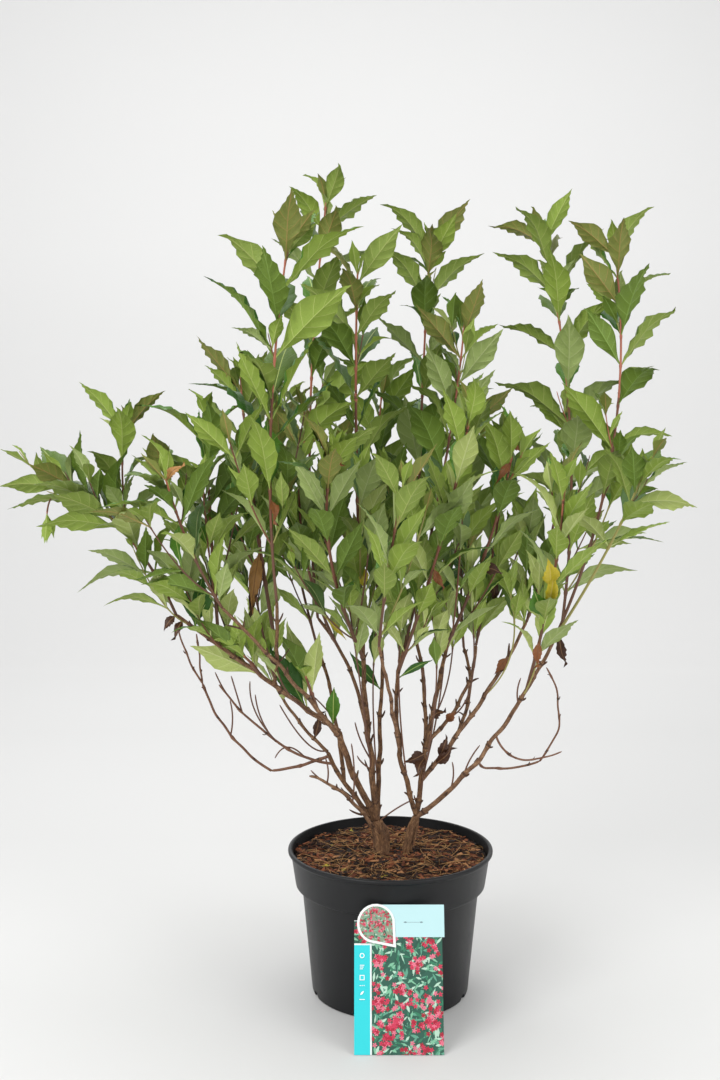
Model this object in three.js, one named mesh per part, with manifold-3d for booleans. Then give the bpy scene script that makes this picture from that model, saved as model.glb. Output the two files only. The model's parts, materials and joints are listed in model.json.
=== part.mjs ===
// A weigela bush in its nursery pot: two stools of canes, their boughs and bare twigs, and the
// leafy shoots of the crown, with the picture card that leans on the pot.
// Millimetres, +Z up, the front of the bush towards -Y. The origin is the centre of the pot's
// flat underside.
import * as THREE from "three";
import { mergeVertices } from "three/addons/utils/BufferGeometryUtils.js";
import Module from "manifold-3d";

const wasm = await Module();
wasm.setup();

// ---- Driving dimensions ----

const gap = 0.3; // between pieces that touch

const pot = {
  height: 206,
  rimRadius: 145,
  rimFootRadius: 134,
  rimFoot: 153,
  shoulderRadius: 125.5,
  shoulderDrop: 3,
  footRadius: 111,
  wall: 2.4,
  floor: 3,
  lip: 4,
  band: 6,
  edge: 1.5,
  sides: 32,
};
const notch = { count: 8, depth: 24, width: 15, height: 9, firstTurn: 20 };
const soil = { level: 194, edgeDrop: 3, flatRadius: 75 };

// The picture card leans on the pot. A header and a badge stand on its face and above its top.
const card = { width: 115, height: 165, thick: 1.2, foot: [7, -207.2, 0.4], lean: 22.4 };
const flap = { width: 92, height: 41, thick: 1, left: -31.5, top: 185 };
const drop = { radius: 25, thick: 1, centre: [-29, 161], point: [-3, 131], shoulder: 62, steps: 16 };

// Leaf outlines: each entry is the share of the length, and the half width there as a share of the
// widest. Both ends are points.
const largeOutline = [
  [0.46, 1],
  [0.74, 0.58],
];
const smallOutline = [[0.46, 1]];
const leaf = { slimness: 0.2, thick: 0.018, middle: 0.44, fold: 0.2, plainBelow: 104 };
const light = { from: [0.15, 0.8, 0.6], pull: 0.85 }; // leaves turn their upper faces this way

// How pairs of leaves follow each other up a stem. Ranges of two numbers are for chance, and the
// others go from the foot of the stem to its tip.
const growth = {
  internode: 59,
  pace: [1.1, 0.5],
  paceRange: [0.85, 1.15],
  spread: [46, 37],
  spreadRange: [-9, 9],
  sag: [0.32, 0.12],
  sagRange: [0.6, 1.4],
  youth: [0.24, 0.8],
  sizeRange: [0.86, 1.1],
  roll: [-28, 28],
  turnRange: [-20, 20],
  quarterRange: [-12, 12],
  tries: [0, 20, -20, 40, -40],
  start: 0.15,
  clear: 1.2,
  root: 0.12,
  endClear: 4,
  firstSeed: 7,
  seedStep: 12,
};
const sideTwig = {
  spread: 30,
  turnRange: [20, 40],
  length: 115,
  lengthRange: [0.7, 1.2],
  shrink: 0.5,
  kneeRise: 0.12,
  rise: 0.5,
  radius: 1.6,
  endRadius: 1,
  bare: 0.4,
  pace: 1,
  leafShare: 0.8,
};

const ground = { size: 200, depth: 40 }; // the block that cuts the stools off at soil level
const flareFade = 7; // how fast a root flare dies away along a stool
const shootThick = { share: 0.88, tip: 1.2 }; // a shoot's radius as a share of its limb's, and at its tip
const facets = {
  stool: { sides: 9, step: 48 },
  limb: { sides: 5, step: 48 },
  shoot: { sides: 3, step: 75 },
  fewest: 3,
  slack: 1.05,
};

// Canes, boughs and bare twigs. Each starts on another limb, `at` its share of the way along,
// passes its knee half way and ends at its tip. `thick` is its radius at either end.
const limbs = {
  left_stool: {
    foot: [-9, 4, 184], knee: [-13, 5, 214], tip: [-19, 5, 243], thick: [11.5, 11.5], flare: 0.25,
  },
  right_stool: { foot: [22, 4, 184], knee: [28, 3, 218], tip: [37, 2, 250], thick: [6, 8], flare: 0.3 },
  low_stub: { on: "left_stool", at: 0.6, knee: [-71, -30, 293], tip: [-113, -40, 318], thick: [4.5, 2.6] },
  left_low_cane: { on: "left_stool", at: 0.9, knee: [-61, 28, 283], tip: [-90, 40, 332], thick: [5, 4] },
  left_main_cane: {
    on: "left_stool", at: 1, knee: [-51, -15, 312], tip: [-72, -30, 379], thick: [6.6, 5.4],
  },
  left_bough: {
    on: "left_main_cane", at: 1, knee: [-168, -70, 458], tip: [-286, -100, 552], thick: [5.2, 3.2],
  },
  left_twin_bough: {
    on: "left_main_cane", at: 0.9, knee: [-134, -95, 464], tip: [-221, -140, 567],
    thick: [4.4, 2.9],
  },
  left_stub: { on: "left_low_cane", at: 1, knee: [-127, 60, 365], tip: [-163, 80, 414], thick: [3.6, 2.8] },
  left_bare_twig: {
    on: "left_low_cane", at: 0.85, knee: [-160, 12, 352], tip: [-241, 0, 438], thick: [2.6, 1.7],
  },
  arc_low: { on: "left_low_cane", at: 0.95, knee: [-130, 50, 309], tip: [-172, 52, 301], thick: [3, 2.5] },
  arc_rise: { on: "arc_low", at: 1, knee: [-229, 40, 356], tip: [-267, 20, 437], thick: [2.5, 2] },
  arc_end_left: { on: "arc_rise", at: 1, knee: [-287, 14, 475], tip: [-299, 10, 517], thick: [1.9, 1.4] },
  arc_end_right: { on: "arc_rise", at: 1, knee: [-270, 28, 470], tip: [-276, 32, 505], thick: [1.8, 1.4] },
  centre_cane: { on: "left_stool", at: 1, knee: [-33, -10, 390], tip: [-39, -28, 505], thick: [6.5, 3.8] },
  centre_back_cane: {
    on: "left_stool", at: 0.95, knee: [-14, 40, 370], tip: [-10, 58, 462], thick: [5.2, 3.4],
  },
  centre_left_bough: {
    on: "centre_cane", at: 0.42, knee: [-56, 46, 445], tip: [-104, 60, 524], thick: [4.2, 3.1],
  },
  red_cane: {
    on: "left_bough", at: 0.42, knee: [-152, -112, 505], tip: [-151, -132, 575], thick: [3.6, 3],
  },
  back_left_cane: {
    on: "left_low_cane", at: 0.6, knee: [-84, 92, 395], tip: [-108, 112, 478], thick: [4.2, 3.1],
  },
  right_front_cane: { on: "right_stool", at: 1, knee: [8, -30, 385], tip: [16, -66, 498], thick: [5, 3.3] },
  right_front_fork: {
    on: "right_front_cane", at: 0.4, knee: [-4, -66, 440], tip: [-18, -104, 511], thick: [4, 3],
  },
  right_centre_cane: {
    on: "right_stool", at: 1, knee: [58, 0, 390], tip: [78, -24, 500], thick: [5.4, 3.5],
  },
  right_back_cane: {
    on: "right_centre_cane", at: 0.36, knee: [48, 42, 425], tip: [38, 72, 490], thick: [4.2, 3.2],
  },
  right_mid_bough: {
    on: "right_centre_cane", at: 0.42, knee: [106, 50, 412], tip: [127, 84, 480], thick: [4.2, 3.1],
  },
  right_bough: {
    on: "right_centre_cane", at: 0.2, knee: [128, 22, 408], tip: [196, 48, 520], thick: [5, 3.2],
  },
  right_low_bough: {
    on: "right_stool", at: 0.95, knee: [138, -22, 358], tip: [233, -42, 530], thick: [5.2, 3.2],
  },
  back_right_cane: {
    on: "right_bough", at: 0.3, knee: [118, 95, 415], tip: [112, 120, 470], thick: [3.8, 3],
  },
  loop_low: {
    on: "right_low_bough", at: 0.36, knee: [150, 22, 309], tip: [215, 30, 321], thick: [2.2, 1.9],
  },
  loop_rise: { on: "loop_low", at: 1, knee: [241, 22, 388], tip: [219, 2, 462], thick: [1.8, 1.5] },
  right_bare_twig: {
    on: "right_low_bough", at: 0.48, knee: [178, -28, 338], tip: [240, -10, 345], thick: [2, 1.4],
  },
};

// Leafy shoots. One that starts on a limb is a mass of its own, and one that starts on another
// shoot belongs to that shoot's mass. `leaf` is the length of its longest leaves, `bare` the share
// of the stem below the first pair, `twigs` the number of pairs with side twigs, `pace` the share
// of the usual distance between pairs, `open` the degrees by which its leaves stand out further, and
// `turn` the first pair's turn round the stem, which is left to chance where it isn't given.
const shoots = {
  far_left_spray: {
    on: "left_bough", at: 1, knee: [-345, -110, 655], tip: [-428, -119, 732], leaf: 108, bare: 0.27,
    twigs: 0, pace: 0.55,
  },
  far_left_upper: {
    on: "far_left_spray", at: 0.5, knee: [-356, -88, 730], tip: [-352, -82, 802], leaf: 88,
    bare: 0.2, twigs: 0,
  },
  far_left_droop: {
    on: "far_left_spray", at: 0.9, knee: [-437, -122, 714], tip: [-448, -124, 686], leaf: 92,
    bare: 0.3, twigs: 0, open: -20, turn: 0,
  },
  left_front_spray: {
    on: "left_twin_bough", at: 1, knee: [-258, -160, 645], tip: [-286, -178, 735], leaf: 100,
    bare: 0.1, twigs: 1,
  },
  left_middle_spray: {
    on: "left_bough", at: 0.75, knee: [-243, -70, 680], tip: [-250, -60, 815], leaf: 102,
    bare: 0.22, twigs: 1,
  },
  left_tall_spray: {
    on: "left_bough", at: 0.36, knee: [-190, 15, 680], tip: [-212, 48, 872], leaf: 104, bare: 0.34,
    twigs: 1,
  },
  left_low_spray: {
    on: "left_bough", at: 0.5, knee: [-188, -86, 484], tip: [-198, -100, 498], leaf: 118, bare: 0.5,
    twigs: 0, open: -12, turn: 0,
  },
  low_front_spray: {
    on: "left_twin_bough", at: 0.26, knee: [-112, -74, 452], tip: [-116, -88, 468], leaf: 122,
    bare: 0.4, twigs: 0, open: -22, turn: 0,
  },
  left_back_spray: {
    on: "left_stub", at: 1, knee: [-200, 118, 570], tip: [-204, 140, 735], leaf: 98, bare: 0.4,
    twigs: 1,
  },
  red_shoot: {
    on: "red_cane", at: 1, knee: [-156, -152, 795], tip: [-132, -160, 1030], leaf: 122, bare: 0.16,
    twigs: 1,
  },
  tall_back_shoot: {
    on: "centre_left_bough", at: 1, knee: [-114, 50, 800], tip: [-89, 40, 1118], leaf: 104,
    bare: 0.1, twigs: 1,
  },
  centre_left_spray: {
    on: "centre_left_bough", at: 0.75, knee: [-122, -10, 640], tip: [-116, -30, 790], leaf: 96,
    bare: 0.25, twigs: 1,
  },
  centre_shoot: {
    on: "centre_cane", at: 1, knee: [-48, -48, 780], tip: [-46, -52, 1008], leaf: 106, bare: 0.03,
    twigs: 2,
  },
  front_left_spray: {
    on: "centre_cane", at: 0.9, knee: [-82, -140, 640], tip: [-74, -200, 770], leaf: 96, bare: 0.12,
    twigs: 1,
  },
  front_centre_spray: {
    on: "right_front_fork", at: 1, knee: [-8, -178, 615], tip: [10, -215, 730], leaf: 92,
    bare: 0.08, twigs: 1,
  },
  back_centre_spray: {
    on: "centre_back_cane", at: 1, knee: [-20, 132, 660], tip: [-10, 165, 850], leaf: 104,
    bare: 0.06, twigs: 1,
  },
  back_left_spray: {
    on: "back_left_cane", at: 1, knee: [-150, 165, 650], tip: [-170, 185, 815], leaf: 104,
    bare: 0.1, twigs: 1,
  },
  centre_right_shoot: {
    on: "right_back_cane", at: 1, knee: [44, 76, 775], tip: [56, 70, 1058], leaf: 106, bare: 0.12,
    twigs: 2,
  },
  right_inner_shoot: {
    on: "right_front_cane", at: 1, knee: [72, -30, 745], tip: [102, 15, 950], leaf: 102, bare: 0.04,
    twigs: 1,
  },
  light_shoot: {
    on: "right_front_cane", at: 0.88, knee: [66, -135, 670], tip: [98, -150, 828], leaf: 88,
    bare: 0.08, twigs: 1,
  },
  right_low_spray: {
    on: "right_centre_cane", at: 1, knee: [132, -62, 650], tip: [158, -80, 764], leaf: 94,
    bare: 0.06, twigs: 1,
  },
  right_middle_spray: {
    on: "right_mid_bough", at: 1, knee: [156, 100, 640], tip: [170, 96, 772], leaf: 98, bare: 0.06,
    twigs: 1,
  },
  back_right_spray: {
    on: "back_right_cane", at: 1, knee: [112, 170, 630], tip: [130, 195, 810], leaf: 104,
    bare: 0.1, twigs: 1,
  },
  right_back_spray: {
    on: "right_bough", at: 1, knee: [240, 104, 650], tip: [264, 122, 805], leaf: 98, bare: 0.04,
    twigs: 1,
  },
  right_tall_shoot: {
    on: "right_low_bough", at: 1, knee: [250, 20, 800], tip: [214, 66, 1070], leaf: 110, bare: 0.08,
    twigs: 1,
  },
  right_outer_shoot: {
    on: "right_low_bough", at: 0.92, knee: [302, -22, 770], tip: [308, 18, 1040], leaf: 106,
    bare: 0.25, twigs: 1,
  },
  far_right_spray: {
    on: "right_low_bough", at: 0.96, knee: [280, -88, 628], tip: [324, -118, 738], leaf: 90,
    bare: 0.58, twigs: 0, pace: 0.62, open: 4, turn: 0,
  },
  right_front_spray: {
    on: "right_low_bough", at: 0.7, knee: [205, -150, 610], tip: [208, -200, 732], leaf: 90,
    bare: 0.2, twigs: 0,
  },
};

const colours = {
  plastic: ["#1d1e20", 0.55],
  bark: ["#6e5340", 0.9],
  leaves: ["#66803c", 0.7],
  soil: ["#5b3a2c", 1],
  card: ["#2f8f95", 0.4],
  flap: ["#bfe0e4", 0.4],
  drop: ["#eceeea", 0.4],
};

// ---- Small helpers ----

const up = new THREE.Vector3(0, 0, 1);
const across = new THREE.Vector3(1, 0, 0);
const point = (values) => new THREE.Vector3(...values);
const radians = THREE.MathUtils.degToRad;
const between = (low, high, share) => low + (high - low) * share;

// A run of numbers that is the same each time for the same seed.
function dice(seed) {
  let state = seed;
  const roll = () => {
    state = (state * 1664525 + 1013904223) % 4294967296;
    return state / 4294967296;
  };
  for (let i = 0; i < 4; i++) roll();
  return (low, high) => between(low, high, roll());
}

// A closed geometry as a manifold solid, with its faces turned outwards.
function solidOf(geometry) {
  const bare = new THREE.BufferGeometry();
  bare.setAttribute("position", geometry.getAttribute("position"));
  if (geometry.index) bare.setIndex(geometry.index);
  const merged = mergeVertices(bare, 1e-4);
  const corners = merged.index.array;
  const faces = [];
  for (let i = 0; i < corners.length; i += 3) {
    const [a, b, c] = [corners[i], corners[i + 1], corners[i + 2]];
    if (a !== b && b !== c && c !== a) faces.push(a, b, c);
  }
  const make = (triVerts) =>
    new wasm.Manifold(
      new wasm.Mesh({
        numProp: 3,
        vertProperties: new Float32Array(merged.getAttribute("position").array),
        triVerts: new Uint32Array(triVerts),
      }),
    );
  const solid = make(faces);
  return solid.volume() < 0 ? make(faces.reverse()) : solid;
}

// The largest body of a solid, so that a cut leaves no scrap.
function mainBody(solid) {
  const bodies = solid.decompose();
  return bodies.reduce((best, body) => (body.volume() > best.volume() ? body : best));
}

function geometryOf(solid) {
  const mesh = solid.getMesh();
  const positions = [];
  for (let i = 0; i < mesh.numVert; i++) {
    positions.push(...mesh.vertProperties.subarray(i * mesh.numProp, i * mesh.numProp + 3));
  }
  const geometry = new THREE.BufferGeometry();
  geometry.setAttribute("position", new THREE.Float32BufferAttribute(positions, 3));
  geometry.setIndex([...mesh.triVerts]);
  const faceted = geometry.toNonIndexed();
  faceted.computeVertexNormals();
  return faceted;
}

function named(name, geometry, [colour, roughness]) {
  const material = new THREE.MeshStandardMaterial({ color: colour, roughness, metalness: 0 });
  const mesh = new THREE.Mesh(geometry, material);
  mesh.name = name;
  return mesh;
}

function boxOf(solid) {
  const { min, max } = solid.boundingBox();
  return new THREE.Box3(point(min), point(max));
}

const meets = (a, b) => a.box.intersectsBox(b.box) && a.solid.intersect(b.solid).numTri() > 0;

// ---- Pot, soil and picture card ----

function turned(profile) {
  const points = profile.map(([radius, height]) => new THREE.Vector2(radius, height));
  return new THREE.LatheGeometry(points, pot.sides).rotateX(Math.PI / 2);
}

function potSolid() {
  const { height, rimRadius, rimFootRadius, rimFoot, shoulderRadius, footRadius } = pot;
  const { wall, floor, lip, edge } = pot;
  let body = solidOf(
    turned([
      [0, 0],
      [footRadius - edge, 0],
      [footRadius, edge],
      [shoulderRadius, rimFoot - pot.shoulderDrop],
      [rimFootRadius, rimFoot],
      [rimRadius - lip, height - pot.band - edge],
      [rimRadius, height - pot.band],
      [rimRadius, height - edge],
      [rimRadius - edge, height],
      [rimRadius - lip - wall, height],
      [rimFootRadius - wall, rimFoot + wall],
      [shoulderRadius - wall, rimFoot - edge],
      [footRadius - wall, floor],
      [0, floor],
    ]),
  );
  for (let i = 0; i < notch.count; i++) {
    const cutter = new THREE.BoxGeometry(notch.depth, notch.width, notch.height * 2);
    cutter.translate(footRadius, 0, 0);
    cutter.rotateZ(radians(notch.firstTurn + (i * 360) / notch.count));
    body = body.subtract(solidOf(cutter));
  }
  return body;
}

// The soil fills the pot up to a little below its lip, a gap clear of the wall.
function soilSolid() {
  const { height, rimRadius, rimFootRadius, rimFoot, shoulderRadius, footRadius } = pot;
  const { wall, floor, lip } = pot;
  const inside = wall + gap * 1.5;
  const rimSlope = (rimRadius - lip - rimFootRadius) / (height - rimFoot);
  const edge = soil.level - soil.edgeDrop;
  return solidOf(
    turned([
      [0, floor + gap],
      [footRadius - inside, floor + gap],
      [shoulderRadius - inside, rimFoot - pot.edge + 2 * gap],
      [rimFootRadius - inside, rimFoot + wall + gap],
      [rimFootRadius - inside + rimSlope * (edge - rimFoot - wall), edge],
      [soil.flatRadius, soil.level],
      [0, soil.level],
    ]),
  );
}

// A flat plate from an outline in the card's own plane: x across, y up it, z towards the viewer.
function plate(outline, thick, front) {
  const shape = new THREE.Shape(outline.map(([x, y]) => new THREE.Vector2(x, y)));
  const made = new THREE.ExtrudeGeometry(shape, { depth: thick, bevelEnabled: false });
  return made.translate(0, 0, front);
}

function rectangle(left, foot, width, height) {
  return [
    [left, foot],
    [left + width, foot],
    [left + width, foot + height],
    [left, foot + height],
  ];
}

// A round badge drawn out to a point.
function teardrop() {
  const [x, y] = drop.centre;
  const [tipX, tipY] = drop.point;
  const first = Math.atan2(tipY - y, tipX - x) + radians(drop.shoulder);
  const sweep = radians(360 - 2 * drop.shoulder);
  const outline = [[tipX, tipY]];
  for (let i = 0; i <= drop.steps; i++) {
    const turn = first + (sweep * i) / drop.steps;
    outline.push([x + drop.radius * Math.cos(turn), y + drop.radius * Math.sin(turn)]);
  }
  return outline;
}

function pictureCard() {
  const group = new THREE.Group();
  group.position.set(...card.foot);
  group.rotation.x = Math.PI / 2 - radians(card.lean);
  const back = rectangle(-card.width / 2, 0, card.width, card.height);
  const head = rectangle(flap.left, flap.top - flap.height, flap.width, flap.height);
  const headFront = card.thick + gap;
  const dropFront = headFront + flap.thick + gap;
  group.add(named("label_card", plate(back, card.thick, 0), colours.card));
  group.add(named("label_header", plate(head, flap.thick, headFront), colours.flap));
  group.add(named("label_badge", plate(teardrop(), drop.thick, dropFront), colours.drop));
  return group;
}

// ---- Limbs ----

// A curve that starts at one point, passes the knee half way and ends at the tip.
function bend(start, knee, tip) {
  const control = knee.clone().multiplyScalar(2).addScaledVector(start, -0.5).addScaledVector(tip, -0.5);
  return new THREE.QuadraticBezierCurve3(start, control, tip);
}

// A tapering tube along a curve, with flat ends that may stand out a little past it.
function tube(curve, radiusAt, sides, steps, past = 0) {
  const frames = curve.computeFrenetFrames(steps, false);
  const positions = [];
  for (let i = 0; i <= steps; i++) {
    const centre = curve.getPointAt(i / steps);
    if (i === 0) centre.addScaledVector(frames.tangents[i], -past);
    if (i === steps) centre.addScaledVector(frames.tangents[i], past);
    for (let j = 0; j < sides; j++) {
      const turn = (j * 2 * Math.PI) / sides;
      const spoke = frames.normals[i].clone().multiplyScalar(Math.cos(turn));
      spoke.addScaledVector(frames.binormals[i], Math.sin(turn));
      positions.push(...centre.clone().addScaledVector(spoke, radiusAt(i / steps)));
    }
  }
  const faces = [];
  for (let i = 0; i < steps; i++) {
    for (let j = 0; j < sides; j++) {
      const [a, b] = [i * sides + j, i * sides + ((j + 1) % sides)];
      faces.push(a, b, b + sides, a, b + sides, a + sides);
    }
  }
  const last = steps * sides;
  for (let j = 1; j < sides - 1; j++) {
    faces.push(0, j + 1, j, last, last + j, last + j + 1);
  }
  const geometry = new THREE.BufferGeometry();
  geometry.setAttribute("position", new THREE.Float32BufferAttribute(positions, 3));
  geometry.setIndex(faces);
  return geometry;
}

// Curves of all limbs and shoots by name, with their radii and facets, in the order they are listed.
function layOut() {
  const laid = {};
  for (const [name, limb] of Object.entries({ ...limbs, ...shoots })) {
    const parent = laid[limb.on];
    const start = limb.foot ? point(limb.foot) : parent.curve.getPointAt(limb.at);
    const thick = limb.thick ?? [parent.radius(limb.at) * shootThick.share, shootThick.tip];
    const flare = limb.flare ?? 0;
    const { sides, step } = limb.foot ? facets.stool : limb.thick ? facets.limb : facets.shoot;
    const curve = bend(start, point(limb.knee), point(limb.tip));
    laid[name] = {
      curve,
      radius: (share) => between(thick[0], thick[1], share) * (1 + flare * Math.exp(-flareFade * share)),
      sides,
      steps: Math.max(facets.fewest, Math.round(curve.getLength() / step)),
    };
  }
  return laid;
}

// A limb's solid, or the same one grown by a little more than a distance all round.
function limbSolid(laid, name, distance = 0) {
  const { curve, radius, sides, steps } = laid[name];
  const grow = (facets.slack * distance) / Math.cos(Math.PI / sides);
  return solidOf(tube(curve, (share) => radius(share) + grow, sides, steps, grow));
}

// A solid with its box, and whatever else is told of it.
const piece = (solid, more = {}) => ({ solid, box: boxOf(solid), ...more });

// A limb or stem cut clear of what was made before it.
function cutClear(solid, grown) {
  const box = boxOf(solid);
  const near = grown.filter((other) => other.box.intersectsBox(box));
  return mainBody(near.reduce((left, other) => left.subtract(other.solid), solid));
}

// Every limb is cut 0.3 mm clear of those listed before it.
function makeLimbs(laid) {
  const made = [];
  const grown = [];
  for (const [name, limb] of Object.entries(limbs)) {
    const whole = limbSolid(laid, name);
    const solid = limb.foot ? flatFoot(whole, soil.level + gap) : whole;
    made.push(piece(cutClear(solid, grown), { name }));
    grown.push(piece(limbSolid(laid, name, gap), { name }));
  }
  return { made, grown };
}

// The flat cut at ground level takes away all that is below it.
function flatFoot(solid, level) {
  const { size, depth } = ground;
  const cutter = new THREE.BoxGeometry(size, size, depth).translate(0, 0, level - depth / 2);
  return solid.subtract(solidOf(cutter));
}

// ---- Leaves and shoots ----

// A leaf is a thin closed lozenge: an outline round a middle that is raised on both faces.
// Its midrib leaves along `out` and sags towards the ground.
function leafGeometry(shape, from, grow) {
  const { base, out, face, length, sag } = shape;
  const side = new THREE.Vector3().crossVectors(out, face).normalize();
  const widest = length * leaf.slimness + grow;
  const midrib = (share) => {
    const drop = 0.5 * length * sag * share * share;
    return base.clone().addScaledVector(out, length * share).addScaledVector(up, -drop);
  };
  const edge = (share, width) =>
    midrib(share)
      .addScaledVector(side, width * widest)
      .addScaledVector(face, Math.abs(width) * widest * leaf.fold);
  const half = length < leaf.plainBelow ? smallOutline : largeOutline;
  const outline = [
    midrib(from),
    ...half.map(([share, width]) => edge(share, width)),
    midrib(1 + grow / length),
    ...half.map(([share, width]) => edge(share, -width)).reverse(),
  ];
  const rise = (length * leaf.thick) / 2 + grow;
  const top = midrib(leaf.middle).addScaledVector(face, rise);
  const underside = midrib(leaf.middle).addScaledVector(face, -rise);
  const faces = [];
  const count = outline.length;
  for (let i = 0; i < count; i++) {
    const next = (i + 1) % count;
    faces.push(i, next, count, next, i, count + 1);
  }
  const geometry = new THREE.BufferGeometry();
  const positions = [...outline, top, underside].flatMap((corner) => corner.toArray());
  geometry.setAttribute("position", new THREE.Float32BufferAttribute(positions, 3));
  geometry.setIndex(faces);
  return geometry;
}

// The middle of a faceted stem at a share of the way along it.
function middleAt({ curve, steps }, share) {
  const ring = Math.min(Math.floor(share * steps), steps - 1);
  return curve.getPointAt(ring / steps).lerp(curve.getPointAt((ring + 1) / steps), share * steps - ring);
}

// The leaf of one pair at a share of the way along a stem, turned about it.
function leafShape(stem, share, turn, spread, roll, length, sag) {
  const axis = stem.curve.getTangentAt(share);
  const first = across.clone().addScaledVector(axis, -across.dot(axis)).normalize();
  const second = new THREE.Vector3().crossVectors(axis, first);
  const outward = first.multiplyScalar(Math.cos(turn)).addScaledVector(second, Math.sin(turn));
  const out = axis.clone().multiplyScalar(Math.cos(spread)).addScaledVector(outward, Math.sin(spread));
  const face = axis.clone().addScaledVector(point(light.from), light.pull);
  face.addScaledVector(out, -face.dot(out)).normalize().applyAxisAngle(out, roll);
  const base = middleAt(stem, share).addScaledVector(out, growth.start * stem.radius(share));
  return { base, out, face, length, sag };
}

// A leaf's share of the longest, least at the foot of a stem and at its tip.
const leafSize = (age) => 0.5 + 0.5 * Math.sin(Math.PI * between(...growth.youth, age));

// The leaf pairs and side twigs of one stem, each tried at a few turns and skipped if it touches
// a limb, a stem or another leaf.
function growStem(stem, roll, plant) {
  const { mass } = stem;
  const whole = stem.curve.getLength();
  let turn = stem.turn ?? roll(0, 360);
  let pair = 0;
  for (let along = stem.bare * whole; along < whole - growth.endClear; ) {
    const share = along / whole;
    const age = (share - stem.bare) / (1 - stem.bare);
    for (const half of [0, 180]) {
      const own = turn + half + roll(...growth.turnRange);
      const spread = between(...growth.spread, age) + roll(...growth.spreadRange) + stem.open;
      const sag = between(...growth.sag, age) * roll(...growth.sagRange);
      const length = stem.leaf * leafSize(age) * roll(...growth.sizeRange);
      const lean = roll(...growth.roll);
      for (const extra of growth.tries) {
        const turns = [own + extra, spread, lean].map(radians);
        if (addLeaf(leafShape(stem, share, ...turns, length, sag), mass, plant)) break;
      }
      const twigTurn = radians(own + roll(...sideTwig.turnRange));
      const reach = sideTwig.length * roll(...sideTwig.lengthRange) * (1 - sideTwig.shrink * age);
      if (pair < stem.twigs) addTwig(stem, share, twigTurn, reach, roll, plant);
    }
    turn += 90 + roll(...growth.quarterRange);
    along += growth.internode * between(...growth.pace, age) * roll(...growth.paceRange) * stem.pace;
    pair++;
  }
}

// A new leaf or twig is tested whole against other masses and the limbs, and without its root
// against its own mass.
function fits(mass, whole, free, plant) {
  return plant.pieces.every((other) => {
    if (other.stemOf === mass) return true;
    return other.mass === mass ? !meets(other.free, free) : !meets(other, whole);
  });
}

function addLeaf(shape, mass, plant) {
  const free = piece(solidOf(leafGeometry(shape, growth.root, growth.clear)));
  const whole = piece(solidOf(leafGeometry(shape, 0, growth.clear)), { mass, free });
  if (!fits(mass, whole, free, plant)) return false;
  plant.pieces.push(whole);
  plant.parts[mass].push(solidOf(leafGeometry(shape, 0, 0)));
  return true;
}

// A side twig leaves the axil of a leaf, rises and carries a few pairs of its own.
function addTwig(stem, share, turn, reach, roll, plant) {
  const { mass } = stem;
  const { base, out } = leafShape(stem, share, turn, radians(sideTwig.spread), 0, reach, 0);
  const along = (part, rise) =>
    base.clone().addScaledVector(out, reach * part).addScaledVector(up, reach * rise);
  const tip = along(1, sideTwig.rise);
  const curve = bend(base, along(0.5, sideTwig.kneeRise), tip);
  const beyond = bend(curve.getPointAt(growth.root), curve.getPointAt(0.5 + growth.root / 2), tip);
  const fat = () => sideTwig.radius + growth.clear;
  const { sides } = facets.shoot;
  const free = piece(solidOf(tube(beyond, fat, sides, facets.fewest)));
  const whole = piece(solidOf(tube(curve, fat, sides, facets.fewest)), { mass, free, stemOf: mass });
  if (!fits(mass, whole, free, plant)) return;
  const radius = (part) => between(sideTwig.radius, sideTwig.endRadius, part);
  plant.pieces.push(whole);
  plant.parts[mass].push(solidOf(tube(curve, radius, sides, facets.fewest)));
  const { bare, pace } = sideTwig;
  const leaf = stem.leaf * sideTwig.leafShare;
  growStem({ curve, radius, steps: facets.fewest, mass, leaf, bare, pace, twigs: 0, open: 0 }, roll, plant);
}

// The stems of all masses come first, cut clear of the limbs and of each other, and then the leaves.
function makeMasses(laid, { made, grown }) {
  const plant = { pieces: [...made], parts: {} };
  const massOf = {};
  for (const [name, shoot] of Object.entries(shoots)) {
    const mass = massOf[shoot.on] ?? name;
    massOf[name] = mass;
    const others = grown.filter((other) => other.name !== mass);
    const stem = cutClear(limbSolid(laid, name), others);
    grown.push(piece(limbSolid(laid, name, gap), { name: mass }));
    (plant.parts[mass] ??= []).push(stem);
    plant.pieces.push(piece(stem, { mass, stemOf: mass }));
  }
  let seed = growth.firstSeed;
  for (const [name, shoot] of Object.entries(shoots)) {
    seed += growth.seedStep;
    growStem({ pace: 1, open: 0, ...shoot, ...laid[name], mass: massOf[name] }, dice(seed), plant);
  }
  return Object.entries(plant.parts).map(([name, parts]) => ({
    name,
    solid: mainBody(parts.reduce((whole, part) => whole.add(part))),
  }));
}

// ---- The whole plant ----

const weigela = new THREE.Group();
weigela.add(named("pot", geometryOf(potSolid()), colours.plastic));
weigela.add(named("soil", geometryOf(soilSolid()), colours.soil));
weigela.add(pictureCard());

const laid = layOut();
const limbSolids = makeLimbs(laid);
for (const { name, solid } of limbSolids.made) {
  weigela.add(named(name, geometryOf(solid), colours.bark));
}
for (const { name, solid } of makeMasses(laid, limbSolids)) {
  weigela.add(named(name, geometryOf(solid), colours.leaves));
}

export default weigela;
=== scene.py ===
import json
import math
import bpy
import bmesh
import numpy as np
from mathutils import Matrix, Vector, noise
from mathutils.bvhtree import BVHTree


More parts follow.
